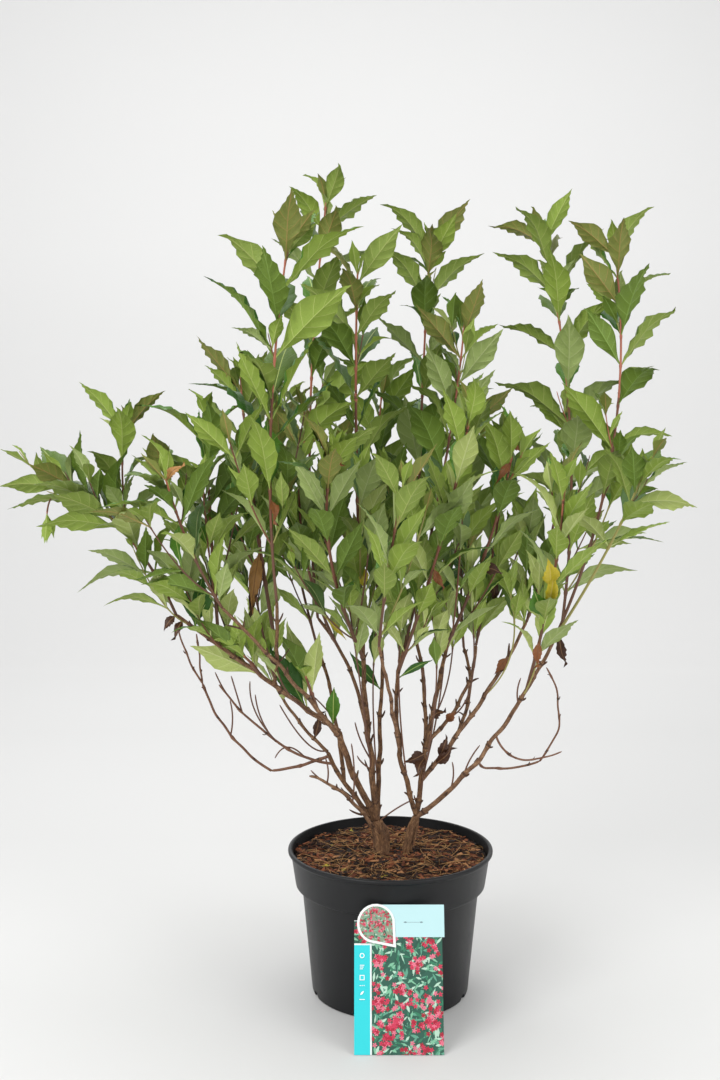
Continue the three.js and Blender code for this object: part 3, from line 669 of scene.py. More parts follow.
deadTwigs = (
    # limb, share along it, knee, tip
    ("left_stool", 0.92, (12, 1, 262), (42, -3, 278)),
    ("low_stub", 0.48, (-51, -25, 317), (-55, -29, 361)),
    ("low_stub", 0.69, (-96, -35, 311), (-111, -39, 326)),
    ("low_stub", 0.82, (-87, -41, 327), (-91, -45, 346)),
    ("centre_cane", 0.28, (-40, -6, 328), (-47, -10, 339)),
    ("left_bare_twig", 0.21, (-146, 19, 344), (-164, 15, 329)),
    ("left_stub", 0.02, (-121, 37, 347), (-158, 33, 402)),
    ("back_left_cane", 0.42, (-91, 73, 385), (-110, 69, 406)),
    ("centre_cane", 0.34, (-42, -7, 360), (-50, -11, 387)),
    ("right_low_bough", 0.19, (88, -14, 312), (86, -18, 332)),
    ("right_low_bough", 0.27, (110, -18, 334), (124, -22, 357)),
    ("right_back_cane", 0.41, (50, 28, 430), (44, 24, 457)),
    ("right_low_bough", 0.64, (174, -34, 436), (178, -38, 455)),
    ("arc_rise", 0.47, (-226, 36, 383), (-229, 32, 409)),
    ("left_bare_twig", 0.42, (-191, 20, 393), (-200, 30, 437)),
    ("left_bare_twig", 0.45, (-181, -5, 389), (-189, -15, 427)),
    ("left_bare_twig", 0.82, (-234, 10, 427), (-248, 15, 453)),
    ("left_bare_twig", 0.76, (-217, -4, 429), (-223, -8, 452)),
)
thinStems = (
    # limb, share along it, knee, tip, leaf length
    ("right_front_cane", 0.15, (10.3, -50, 440.8), (15.7, -80, 568.9), 70),
    ("right_centre_cane", 0.2, (71.4, 10, 428.5), (77.1, 0, 558), 70),
    ("right_centre_cane", 0.12, (61.4, -40, 438.8), (51, -70, 556.7), 65),
    ("right_mid_bough", 0.3, (116.9, 30, 438.9), (112.3, 20, 558.2), 70),
    ("centre_cane", 0.25, (-41.6, -30, 436.7), (-57.9, -60, 558), 70),
    ("centre_back_cane", 0.2, (-24.3, 40, 422.3), (-15.4, 70, 531), 65),
    ("right_back_cane", 0.2, (84.7, 60, 432.9), (92.7, 80, 532.5), 65),
    ("right_bough", 0.55, (172.3, 20, 483.9), (164.9, 0, 574.9), 65),
    ("right_low_bough", 0.68, (198.1, -80, 508.1), (189, -110, 592.8), 70),
    ("left_bough", 0.12, (-142.4, -80, 447), (-154.2, -100, 504.8), 60),
)
lowTwigs = (
    # limb, share along it, turn round it, reach, leaf length
    ("centre_cane", 0.9, 320, 85, 75), ("centre_cane", 0.97, 190, 70, 70),
    ("right_front_cane", 0.96, 210, 80, 70), ("right_centre_cane", 0.96, 110, 75, 70),
    ("right_back_cane", 0.9, 60, 80, 70), ("right_mid_bough", 0.95, 20, 80, 75),
    ("right_bough", 0.96, 200, 80, 70), ("right_low_bough", 0.96, 260, 70, 70),
    ("centre_left_bough", 0.66, 240, 85, 75), ("centre_left_bough", 0.9, 30, 80, 70),
    ("left_bough", 0.6, 80, 85, 80), ("left_bough", 0.68, 260, 80, 80), ("left_bough", 0.82, 60, 85, 80),
    ("left_bough", 0.92, 240, 80, 85), ("left_twin_bough", 0.72, 90, 85, 80),
    ("left_twin_bough", 0.88, 260, 85, 85), ("back_left_cane", 0.9, 270, 80, 70),
    ("left_stub", 0.8, 120, 70, 70),
)


class Plant:
    def __init__(self):
        self.crowd = Crowd(growth["room"])
        self.leaves, self.stems, self.nodes = {}, {}, []
        massOf = {}
        for name in limbs:
            self.crowd.add(self.coarseLimb(name, None, None, None, name))
        for name, row in shoots.items():
            mass = massOf[name] = massOf.get(row[0], name)
            self.crowd.add(self.coarseLimb(name, mass, mass))
            self.addStem(mass, laid[name], main=True)
        seed = growth["firstSeed"]
        for name, (*_, leaf, bare, twigPairs) in shoots.items():
            seed += growth["seedStep"]
            self.growStem({**laid[name], "mass": massOf[name], "leaf": leaf / 1000, "bare": bare,
                           "twigs": twigPairs, "order": 0, **habits.get(name, {})}, Dice(seed))

    def coarseLimb(self, name, *tags):
        curve, radiusAt = laid[name]["curve"], laid[name]["radius"]
        sides, step = growth["coarse"]["shoot" if name in shoots else "stool" if name in flares else "limb"]
        return coarseTube(curve, radiusAt, sides, max(3, math.floor(curve.length / step + 0.5)), *tags)

    def addStem(self, mass, stem=None, **tags):
        self.leaves.setdefault(mass, [])
        self.stems.setdefault(mass, [])
        if stem:
            self.stems[mass].append({"main": False, "dead": False, **stem, **tags})

    def addLeaf(self, leaf, stem, age, clear=growth["clear"]):
        free = coarseLeaf(leaf, growth["root"], clear)
        whole = coarseLeaf(leaf, 0, clear, stem["mass"], None, free)
        fits = self.crowd.fits(stem["mass"], whole, free)
        if fits:
            self.crowd.add(whole)
            self.leaves[stem["mass"]].append({**leaf, "age": age})
        return fits

    def tryLeaf(self, stem, share, age, own, spread, lean, length, sag, clear=growth["clear"], shake=None):
        # the first of a few turns at which the leaf is free
        for extra in growth["tries"]:
            wide = spread + shake(*extraPairs["shake"]) if shake else spread
            if self.addLeaf(leafOn(stem, share, own + extra, wide, lean, length, sag), stem, age, clear):
                break

    def addTwig(self, stem, share, turn, reach, roll, kind):
        start = leafOn(stem, share, turn, kind["spread"], 0, reach, 0)
        base, out, mass = start["base"], start["out"], stem["mass"]
        tip = base + out * reach + up * (reach * kind["rise"])
        curve = Bend(base, base + out * (reach * 0.5) + up * (reach * kind["kneeRise"]), tip)
        beyond = Bend(curve.at(growth["root"]), curve.at(0.5 + growth["root"] / 2), tip)
        fat = lambda share: kind["radius"][0] + growth["clear"]
        free = coarseTube(beyond, fat, 3, 3)
        whole = coarseTube(curve, fat, 3, 3, mass, mass, free)
        if not self.crowd.fits(mass, whole, free, stem.get("limb")):
            return
        self.crowd.add(whole)
        shape = {"curve": curve, "radius": lambda part: between(*kind["radius"], part)}
        self.addStem(mass, shape)
        leaf = stem["leaf"] * kind["leafShare"]
        self.growStem({**kind, **shape, "mass": mass, "leaf": leaf, "order": stem["order"] + 1}, roll)

    def growStem(self, stem, roll):
        stem = {"pace": 1, "open": 0, "twigs": 0, **stem}
        whole, bare, side = stem["curve"].length, stem["bare"], twigs["side"]
        turn = stem["turn"] if "turn" in stem else roll(0, 360)
        pair, along = 0, bare * whole
        while along < whole - growth["endClear"]:
            share = along / whole
            age = (share - bare) / (1 - bare)
            for half in (0, 180):
                own = turn + half + roll(*growth["turnRange"])
                spread = between(*growth["spread"], age) + roll(*growth["spreadRange"]) + stem["open"]
                sag = between(*growth["sag"], age) * roll(*growth["sagRange"])
                size = 0.5 + 0.5 * math.sin(math.pi * between(*growth["youth"], age))
                length = stem["leaf"] * size * roll(*growth["sizeRange"])
                self.tryLeaf(stem, share, age, own, spread, roll(*growth["roll"]), length, sag)
                twigTurn = own + roll(*side["turnRange"])
                reach = side["length"] * roll(*side["lengthRange"]) * (1 - side["shrink"] * age)
                if pair < stem["twigs"]:
                    self.addTwig(stem, share, twigTurn, reach, roll, side)
                self.nodes.append((stem, share, age, own))
            turn += 90 + roll(*growth["quarterRange"])
            gap = growth["internode"] * between(*growth["pace"], age) * roll(*growth["paceRange"])
            along += gap * stem["pace"]
            pair += 1

    def thicken(self, roll):
        # pairs of leaves between the pairs of the rule
        runs = {}
        for stem, share, age, own in self.nodes[::2]:
            runs.setdefault(id(stem), (stem, []))[1].append((share, age, own))
        for stem, run in runs.values():
            for (share, age, own), (beyond, older, _) in zip(run, run[1:]):
                part, years = (share + beyond) / 2, (age + older) / 2
                height = stem["curve"].at(part).z
                if roll(0, 1) > np.interp(height, extraPairs["heights"], extraPairs["chance"]):
                    continue
                spread = between(*growth["spread"], years) - extraPairs["closer"]
                size = 0.5 + extraPairs["size"] * math.sin(math.pi * between(*growth["youth"], years))
                first = own + extraPairs["turn"] + roll(*growth["turnRange"])
                for half in (0, 180):
                    length = stem["leaf"] * size * roll(*growth["sizeRange"])
                    lean, sag = roll(*growth["roll"]), roll(*extraPairs["sag"])
                    self.tryLeaf(stem, part, years, first + half, spread, lean, length, sag,
                                 extraPairs["clear"], roll)
                self.nodes.append((stem, part, years, own + extraPairs["turn"] + 90))

    def raiseThin(self, roll):
        # thin stems that rise from the canes beside them, leafy at the top, and short dead ones
        for limb, share, knee, tip, *leaf in thinStems + deadTwigs:
            mass = "low_" + limb
            stem = {"curve": Bend(laid[limb]["curve"].at(share), milli(knee), milli(tip)),
                    "radius": lambda part: between(*twigs["thin"]["radius"], part)}
            self.addStem(mass, stem, main=True, dead=not leaf)
            self.crowd.add(coarseTube(stem["curve"], stem["radius"], 3, 4, mass, mass))
            if leaf:
                stem = {**twigs["thin"], **stem, "mass": mass, "leaf": leaf[0] / 1000, "order": 1}
                self.growStem(stem, roll)

    def sproutLow(self, roll):
        # slender leafy twigs straight from the canes, below the shoots
        for limb, share, turn, reach, leaf in lowTwigs:
            stem = {**laid[limb], "mass": "low_" + limb, "leaf": leaf / 1000, "order": 2, "limb": limb}
            self.addStem(stem["mass"])
            pace = reach / 1000 / twigs["low"]["pairs"] / growth["internode"]
            self.addTwig(stem, share, turn, reach / 1000, roll, {**twigs["low"], "pace": pace})

    def sproutAxils(self, roll):
        # small leafy sprouts in the axils, and a tuft of young leaves at every tip
        kind, tips = twigs["sprout"], {}
        for stem, share, age, own in list(self.nodes):
            if share >= tips.get(id(stem), (0, 0, 0))[1]:
                tips[id(stem)] = (stem, share, own)
            reach = kind["length"] * roll(*kind["lengthRange"])
            reach *= sprouting["longest"] - kind["shrink"] * age
            turn = own + roll(*kind["turnRange"])
            height = stem["curve"].at(share).z
            chance = np.interp(height, sprouting["heights"], sprouting["chance"])
            if roll(0, 1) < chance - sprouting["fewer"] * stem["order"]:
                self.addTwig(stem, share, turn, reach, roll, kind)
        for stem, share, own in tips.values():
            for pair, (part, size, spread) in enumerate(tuft["pairs"]):
                for half in (0, 180):
                    length = stem["leaf"] * size * roll(*tuft["sizeRange"])
                    wide, lean = spread + roll(*tuft["spreadRange"]), roll(*tuft["roll"])
                    turn = own + 90 * (pair + 1) + half
                    leaf = leafOn(stem, part, turn, wide, lean, length, tuft["sag"], 0)
                    self.addLeaf(leaf, stem, tuft["age"])

    def count(self):
        return sum(len(leaves) for leaves in self.leaves.values())


plant = Plant()
ruleLeaves = plant.count()
plant.thicken(Dice(seeds["pairs"]))
plant.raiseThin(Dice(seeds["thin"]))
plant.sproutLow(Dice(seeds["low"]))
plant.sproutAxils(Dice(seeds["sprouts"]))
print("grown:", ruleLeaves, "leaves by the rule,", plant.count(), "with the sprouts")


# Bark: every cane, bough and bare twig with its nodes, ridges and stubs

barkLook = {
    # sides round, step along, share of the solid's radius, depth of ridges and swelling of nodes as
    # shares of the radius, distance between nodes, chance and length of a stub at a node
    "bark": {"sides": 20, "step": 0.003, "slim": 0.72, "ridge": 0.16, "swell": 0.26, "nodes": 0.034,
             "stub": 0.85, "stubLength": 0.013, "shade": "cane_bark"},
    "bough_bark": {"sides": 14, "step": 0.0032, "slim": 0.7, "ridge": 0.09, "swell": 0.4, "nodes": 0.038,
                   "stub": 0.8, "stubLength": 0.011, "shade": "bough_bark"},
    "twig_bark": {"sides": 8, "step": 0.004, "slim": 0.8, "ridge": 0.04, "swell": 0.55, "nodes": 0.042,
                  "stub": 0.6, "stubLength": 0.006, "shade": "twig_bark"},
    # tones, how clear the pale pores are, depth of the relief
    "shades": {
        "cane_bark": (((0.32, "#30200f"), (0.5, "#6c4b31"), (0.7, "#a9825a")), 0.25, 0.0014),
        "bough_bark": (((0.3, "#38231a"), (0.5, "#76553c"), (0.7, "#b08c68")), 0.5, 0.0007),
        "twig_bark": (((0.3, "#4e3325"), (0.5, "#785340"), (0.72, "#9a7558")), 0.5, 0.0004),
        "node_bark": (((0.3, "#2c1d14"), (0.5, "#503726"), (0.72, "#755640")), 0.1, 0.0008),
    },
    # strips, fibres and pores of the shader: how far they are drawn out, then the texture's numbers
    "strips": (0.22, 900, 4, 0.6), "fibres": (0.12, 2400, 2), "poreCells": (1.8, 420, 0.24, 0.12),
    "pores": "#b49a7e", "patches": (70, 2), "wobble": 0.004,
    # ridges: how close they are round the limb and along it, weight
    "ridges": ((2.4, 45, 1), (6, 110, 0.5)),
    "nodeLength": 0.0035, "nodeReach": 0.012, "nodeRound": (0.55, 0.45), "scar": 0.0016,
    "firstNode": (0.3, 0.8), "nodeRange": (0.6, 1.4), "nodeTurn": (-0.2, 0.2),
    # the two stools: sides, depth, number, lean and shift of the flutes, and where and how much they narrow
    "stool": {"sides": 40, "flutes": ((0.17, 5, 3, 1), (0.1, 8, -4, 0)), "narrowFrom": 0.55,
              "narrowOver": 0.45, "narrow": 0.42},
}


def barkShader(name, tones, clear, depth):
    shader = Shader(name, tones[1][1], 0.85)
    grain = shader.grain()
    drawn = lambda length: shader.stretched(grain, (1, 1, length))
    length, *texture = barkLook["strips"]
    strips = shader.noise(drawn(length), *texture)
    patches = shader.noise(grain, *barkLook["patches"])
    length, *texture = barkLook["fibres"]
    fibres = shader.noise(drawn(length), *texture)
    length, scale, *limits = barkLook["poreCells"]
    pores = shader.step(shader.cells(drawn(length), scale), *limits) * clear
    colour = shader.tones(strips * 0.65 + patches * 0.35, tones)
    shader.feed("Base Color", shader.overlay(pores, colour, barkLook["pores"]))
    shader.feed("Roughness", 0.95 - strips * 0.25)
    shader.relief(strips * 0.7 + fibres * 0.3 + pores * 0.4, depth)
    return shader.material


barks = {name: barkShader(name, *row) for name, row in barkLook["shades"].items()}


stub = {
    # share of the length given for the bark, how much longer the few above a chance are
    "length": (0.2, 0.75), "longer": 2.6, "longerAbove": 0.92,
    # greatest radius, greatest share of the limb's radius, and taper
    "radius": 0.0017, "share": 0.45, "thick": (0.7, 1.1), "taper": (1.15, 0.4),
    # foot as a share of the limb's radius; how far it points along the limb and out; rise of knee and tip
    "foot": 0.6, "along": (0.7, 1.4), "out": 0.8, "knee": (-0.1, 0.15), "tip": (-0.1, 0.4),
}


def addStub(heap, base, way, length, radius, roll):
    # a broken twig or a bud: a short tapering spike with a knee
    knee = base + way * (length * 0.5) + up * (length * roll(*stub["knee"]))
    tip = base + way * length + up * (length * roll(*stub["tip"]))
    foot, taper = stub["taper"]
    radiusAt = lambda share, turn: radius * (foot - taper * share)
    addTube(heap, Bend(base - way * radius, knee, tip), radiusAt, 6, 4, kind=1, offset=roll(0, 5))


def makeLimb(name, seed):
    look, stoolLook = barkLook[slotOf[name]], barkLook["stool"]
    roll, heap = Dice(seed), Heap()
    curve, radius = laid[name]["curve"], laid[name]["radius"]
    nodes, along = [], look["nodes"] * roll(*barkLook["firstNode"])
    while along < curve.length - growth["endClear"]:
        facing = nodes[-1][1] + math.pi / 2 + roll(*barkLook["nodeTurn"]) if nodes else roll(0, math.pi)
        nodes.append((along, facing))
        along += look["nodes"] * roll(*barkLook["nodeRange"])
    offset = roll(0, 50)
    stool = name in flares

    def radiusAt(share, turn):
        along = share * curve.length
        x, y = math.cos(turn), math.sin(turn)
        strips = sum(weight * noise.noise((x * about, y * about, along * close + offset))
                     for about, close, weight in barkLook["ridges"])
        if stool:
            flutes = sum(depth * math.cos(count * turn + lean * share + shift * offset)
                         for depth, count, lean, shift in stoolLook["flutes"])
            past = max(0, (share - stoolLook["narrowFrom"]) / stoolLook["narrowOver"])
            narrow = 1 - stoolLook["narrow"] * past ** 2
            return radius(share) * narrow * (0.9 + flutes + 0.5 * look["ridge"] * strips)
        # the nodes swell on the two sides that carry buds
        least, more = barkLook["nodeRound"]
        swell = sum(math.exp(-((along - place) / barkLook["nodeLength"]) ** 2)
                    * (least + more * math.cos(2 * (turn - facing)))
                    for place, facing in nodes if abs(along - place) < barkLook["nodeReach"])
        return radius(share) * look["slim"] * (1 + look["swell"] * swell + look["ridge"] * strips)

    steps = max(4, round(curve.length / look["step"]))
    sides = stoolLook["sides"] if stool else look["sides"]
    addTube(heap, curve, radiusAt, sides, steps, wobble=barkLook["wobble"], offset=offset)
    if not stool:
        # a dark scar round every second node
        middles = (np.arange(steps) + 0.5) / steps * curve.length
        scars = [any(abs(middle - place) < barkLook["scar"] for place, _ in nodes[::2]) for middle in middles]
        heap.kinds[-1] = np.concatenate([np.repeat(scars, sides), [0, 0]]).astype(int)
    for place, facing in nodes:
        share = place / curve.length
        (centre, heading, normal, cross), = curve.frames([share])
        for half in (0, math.pi):
            out = spoke(facing + half, normal, cross)
            way = (heading * roll(*stub["along"]) + out * stub["out"]).normalized()
            length = look["stubLength"] * roll(*stub["length"])
            length *= stub["longer"] if roll(0, 1) > stub["longerAbove"] else 1
            thick = min(stub["radius"], radius(share) * stub["share"]) * roll(*stub["thick"])
            if roll(0, 1) < look["stub"]:
                addStub(heap, centre + out * (radius(share) * stub["foot"]), way, length, thick, roll)
    heap.build("bark_" + name, [barks[look["shade"]], barks["node_bark"]], slotOf[name], [name])


for index, name in enumerate(limbs):
    makeLimb(name, seeds["bark"] + index)
print("bark on", len(limbs), "limbs")


# Young stems

stemLook = {
    "tones": {"brown": "#6a4836", "russet": "#7c4e3a", "rose": "#b46a52", "olive": "#a39b5a"},
    "pale": ("far_right_spray", "low_right_low_bough", "low_right_bough"),
    # tones of side twigs below and above a height
    "height": 0.7, "below": (0, 1, 3, 0), "above": (1, 1, 2, 3),
    # main stems are brown low down, redder higher up and towards the tip
    "brownBelow": 0.6, "heightFade": 0.12, "shareFade": 2.8, "brownFoot": 0.5, "ages": (0.6, 2.0),
    "ageRange": (-0.1, 0.1), "slim": 0.74, "swell": 0.5, "swellLength": 0.003, "step": 0.004,
    "mainSides": 8, "sides": 6,
}
stemShades = [skinShader("stem", "stem_" + tone, colour) for tone, colour in stemLook["tones"].items()]
pairsOn = {}
for stem, share, *_ in plant.nodes:
    pairsOn.setdefault(id(stem["curve"]), set()).add(share)


def makeStems(mass, seed):
    roll, heap = Dice(seed), Heap()
    for stem in plant.stems[mass]:
        curve = stem["curve"]
        pairs = sorted(pairsOn.get(id(curve), ()))

        def radiusAt(share, turn):
            gaps = [(share - pair) * curve.length / stemLook["swellLength"] for pair in pairs]
            swell = min(sum(math.exp(-gap ** 2) for gap in gaps), 1)
            slim = between(stemLook["slim"], 1, share)
            return stem["radius"](share) * slim * (1 + stemLook["swell"] * swell)

        steps = max(5, round(curve.length / stemLook["step"]))
        kind = roll.pick(stemLook["below" if curve.at(0).z < stemLook["height"] else "above"])
        sides = stemLook["mainSides" if stem["main"] else "sides"]
        addTube(heap, curve, radiusAt, sides, steps, kind=kind, offset=roll(0, 50))
        if stem["main"]:
            shares = [(i + 0.5) / steps for i in range(steps)]
            ages = [max((curve.at(s).z - stemLook["brownBelow"]) / stemLook["heightFade"],
                        s * stemLook["shareFade"] - stemLook["brownFoot"]) + roll(*stemLook["ageRange"])
                    for s in shares]
            tones = np.searchsorted(stemLook["ages"], ages) if mass in shoots else np.zeros(steps, int)
            if mass in stemLook["pale"] and not stem["dead"]:
                tones = np.full(steps, list(stemLook["tones"]).index("olive"))
            heap.kinds[-1] = np.concatenate([np.repeat(tones, sides), tones[[0, -1]]])
    if heap.count:
        heap.build("stems_" + mass, stemShades, "foliage", [mass] if mass in shoots else [])


for index, mass in enumerate(plant.stems):
    makeStems(mass, seeds["stems"] + index)
print("stems of", len(plant.stems), "shoots")


# Leaves

tints = {
    # upper face, underside, veins
    "deep": ("#2e5912", "#6a832e", "#84a04c"),
    "olive": ("#556f26", "#869a44", "#a4b062"),
    "fresh": ("#4d7a20", "#8ea543", "#acbc66"),
    "grey": ("#54703c", "#95a760", "#acb87c"),
    "bronze": ("#636a2b", "#838a42", "#a89054"),
    "pale": ("#92aa49", "#aebc6b", "#c6cf8c"),
    "yellow": ("#c2b02a", "#c6b43a", "#cdbd5a"),
    "rust": ("#84502a", "#a06d3e", "#7a4c2c"),
    "straw": ("#ae7f48", "#b98e58", "#8c643a"),
    "withered": ("#472b1b", "#65442c", "#7a593c"),
}
leafSides = {"upper": (0.4, 0.0004), "under": (0.52, 0.0005), "vein": (0.55, 0.0001)}    # roughness, relief
sprayTints = {
    # chance of deep green, pale and bronze leaves; the rest are olive, grey and fresh green
    "usual": (0.24, 0.08, 0.24),
    # shoots at the back of the crown get more deep green leaves: painted shade for the back of the crown
    "back": (0.5, 0.02, 0.2),
    "low": (0.12, 0.35, 0),
    "left_low_spray": (0.5, 0.4, 0),
    "low_front_spray": (0.5, 0.4, 0),
    "light_shoot": (0.05, 0.5, 0.1),
    "right_front_spray": (0.1, 0.3, 0.1),
    "red_shoot": (0.14, 0, 0.4),
    "tall_back_shoot": (0.2, 0, 0.45),
}
# leaves older than one of these ages count as a tip's or as young; chances of bronze and of olive
ageTints = {"tip": 1.1, "tipBronze": 1.3, "young": 0.8, "olive": 0.7}
blade = {
    # half width along the blade: share of its length, share of the widest
    "shape": ((0, 0.03), (0.08, 0.12), (0.18, 0.36), (0.28, 0.65), (0.38, 0.89), (0.47, 1), (0.55, 0.98),
              (0.62, 0.87), (0.7, 0.65), (0.77, 0.42), (0.84, 0.25), (0.9, 0.14), (0.96, 0.06), (1, 0)),
    "half": 0.17, "fold": (0.2, 0.55), "stretch": 1.12,
    "veins": 6, "firstVein": 0.1, "veinGap": 0.135, "veinHalf": 0.0034, "smallBelow": 0.055, "smallRows": 9,
    "stalk": 0.03, "stalkHalf": 0.0009, "sweep": 0.7, "tooth": 0.034, "inner": 0.5, "margin": 0.93,
    "ruffle": 0.036, "ruffles": 1.9, "quilt": 0.012, "arch": 0.12, "curl": 0.012, "tipCurl": (-0.1, 1.0),
    "thick": 0.00035, "ridge": 0.0011, "ridgeHalf": 0.0006, "ridgeColumn": 0.03, "ridgeShare": 0.35,
    "widthRange": (0.92, 1.08), "sickle": (-0.05, 0.05), "twist": (-0.35, 0.35), "curlFrom": 0.45,
    # waves of the margin: on a hump and on a vein, and the slow one
    "waves": (0.7, -0.45, 0.6),
    # the skin: scale of its cells, its fine noise and its shine
    "cells": 420, "skin": (1500, 2), "shine": 0.36,
    # how crumpled the blades are, by height; least distance from the sides of the solids' box
    "heights": (0.55, 0.85), "crumple": (0.42, 1), "inset": 0.0005,
}
# low in the crown's middle the leaves stand up; a tip keeps this much room inside the box
lift = {"most": 0.55, "above": 0.84, "fade": 0.16, "halfWidth": 0.25, "side": 0.05, "lessSag": 0.6,
        "room": 0.002}


def leafShader(name, colour, roughness, depth):
    shader = Shader(name, colour, roughness, Specular_IOR_Level=blade["shine"])
    grain = shader.grain()
    cells = shader.cells(grain, blade["cells"])
    skin = shader.noise(grain, *blade["skin"])
    shader.feed("Roughness", roughness - 0.08 + skin * 0.16)
    shader.relief(shader.step(cells, 0.0, 0.5) * 0.8 + skin * 0.2, depth)
    return shader.material


leafShades = [leafShader(f"leaf_{side}_{tint}", colour, *leafSides[side])
              for tint, colours in tints.items() for side, colour in zip(leafSides, colours)]


def bladeGrid(large):
    # rows along the midrib and which of them lie between two side veins, the veins' own rows, and
    # the columns across, as shares of the half width
    ridge = blade["ridgeColumn"]
    if not large:
        rows = np.array([0, *np.linspace(0, 1, blade["smallRows"])[:-1]])
        return rows, np.arange(len(rows)) % 2 == 0, set(), [1, ridge, 0, ridge, 1]
    rows, hump, veins = [0, 0, 0.05], [0, 0, 1], set()
    for k in range(blade["veins"]):
        at = blade["firstVein"] + blade["veinGap"] * k
        veins.add(len(rows))
        rows += [at - blade["veinHalf"], at + blade["veinHalf"], at + blade["veinGap"] / 2]
        hump += [0, 0, 1]
    outer = [1, blade["margin"], blade["inner"], ridge]
    return np.array(rows), np.array(hump) == 1, veins, [*outer, 0, *outer[::-1]]


def bladeFaces(rows, columns, veins):
    # the upper side, then the underside without its two margins, and one shared tip
    tip, last = rows * columns, columns - 1
    over = lambda r, c: r * columns + c
    below = lambda r, c: over(r, c) if c in (0, last) else tip + 1 + r * (columns - 2) + c - 1
    loops, sizes, kinds = [], [], []
    for r in range(rows):
        for c in range(last):
            midrib = r == 0 or c in (columns // 2 - 1, columns // 2)
            if r < rows - 1:
                loops += [over(r, c), over(r, c + 1), over(r + 1, c + 1), over(r + 1, c)]
                loops += [below(r, c), below(r + 1, c), below(r + 1, c + 1), below(r, c + 1)]
                sizes += [4, 4]
            else:
                loops += [over(r, c), over(r, c + 1), tip, below(r, c), tip, below(r, c + 1)]
                sizes += [3, 3]
            hem = columns > 5 and c in (0, last - 1)
            kinds += [2 if midrib else 0, 2 if midrib or r in veins and not hem else 1]
    loops += [over(0, c) for c in range(last, -1, -1)] + [below(0, c) for c in range(1, last)]
    rim = np.zeros(tip + 1 + rows * (columns - 2), bool)
    rim[[over(r, c) for r in range(rows) for c in (0, last)] + [tip]] = True
    return np.array(loops), np.array(sizes + [2 * last]), np.array(kinds + [2]), rim


grids = {large: bladeGrid(large) for large in (True, False)}
faceSets = {large: bladeFaces(len(rows), len(columns), veins)
            for large, (rows, _, veins, columns) in grids.items()}


def addBlade(heap, leaf, tint, roll, curl=0.0, crumple=1.0):
    # rows follow the side veins, forward from the midrib, and end in the teeth of the margin
    length, thick = leaf["length"], blade["thick"]
    large = length >= blade["smallBelow"] or "half" in leaf
    t, hump, _, columns = grids[large]
    loops, sizes, kinds, rim = faceSets[large]
    grid = (len(t), len(columns))
    t, hump, v = t[:, None], hump[:, None], np.array(columns)[None, :]
    sign = np.sign(np.arange(len(columns)) - len(columns) // 2)[None, :]
    edge = t + blade["sweep"] * t * (1 - t)
    along = t + (edge - t) * v ** 1.25 + (v == 1) * (t > 0) * ~hump * 0.01
    s = blade["stalk"] + (1 - blade["stalk"]) * along
    s[0] = 0
    # across the blade
    widest = length * leaf.get("half", blade["half"]) * roll(*blade["widthRange"])
    width = widest * np.interp(edge, *np.transpose(blade["shape"]))
    width = np.maximum(width, blade["stalkHalf"] * (1 - 0.5 * t))
    tooth = 1 - blade["tooth"] * hump * (v >= blade["margin"]) * (t > 0)
    onRidge = v == blade["ridgeColumn"]
    ridgeHalf = np.minimum(blade["ridgeHalf"], blade["ridgeShare"] * width)
    x = sign * np.where(onRidge, ridgeHalf, v * width * tooth)
    # the fold, one small wave between two side veins on a slow one, the quilting and the curl
    bulge = length * np.sin(np.pi * np.clip(edge, 0, 1)) ** 0.6
    phase = np.where(sign > 0, roll(0, 1), roll(0, 1))
    onHump, onVein, slow = blade["waves"]
    waves = np.where(hump, onHump, onVein) + slow * np.sin(2 * np.pi * (blade["ruffles"] * edge + phase))
    z = np.abs(x) * (roll(*blade["fold"]) - blade["arch"] * v)
    z = z + blade["ruffle"] * crumple * v ** 2 * bulge * waves * (v > 0.1)
    z = z + blade["quilt"] * bulge * np.where(hump, 1, -1) * (v == blade["inner"])
    z = z - blade["curl"] * bulge * (v == 1)
    tipCurl, sickle = roll(*blade["tipCurl"]) + curl, roll(*blade["sickle"])
    twist = roll(*blade["twist"]) * crumple
    z = z - tipCurl * length * np.maximum(0, s - blade["curlFrom"]) ** 2
    x = x + sickle * length * s ** 2
    x, z = x * np.cos(twist * s) - z * np.sin(twist * s), x * np.sin(twist * s) + z * np.cos(twist * s)
    drop = np.where(v == 0, thick + blade["ridge"] * (1.05 - s), np.where(onRidge, thick * 1.3, thick))
    base, out, face = [np.array(leaf[key]) for key in ("base", "out", "face")]
    side = np.array(leaf["out"].cross(leaf["face"]).normalized())
    down = np.array([0, 0, -0.5 * length * leaf["sag"]])

    def spread(x, z, s):
        x, z, s = [np.broadcast_to(part, grid)[..., None] for part in (x, z, s)]
        return base + out * (length * s) + side * x + face * z + down * s ** 2

    upper = spread(x, z, s).reshape(-1, 3)
    under = spread(x, z - drop, s)[:, 1:-1].reshape(-1, 3)
    far = base + out * length + side * (sickle * length) - face * (tipCurl * length * 0.3) + down
    places = np.concatenate([upper, far[None], under])
    places = np.clip(places, boxLow + blade["inset"], boxHigh - blade["inset"])
    leafAt = roll(0, 40)
    own = np.stack([np.broadcast_to(part, grid) for part in (x, s * length, leafAt)], axis=-1)
    grain = np.concatenate([own.reshape(-1, 3), [[0, length, leafAt]], own[:, 1:-1].reshape(-1, 3)])
    heap.add(places, loops, sizes, kinds + 3 * list(tints).index(tint), rim, grain)


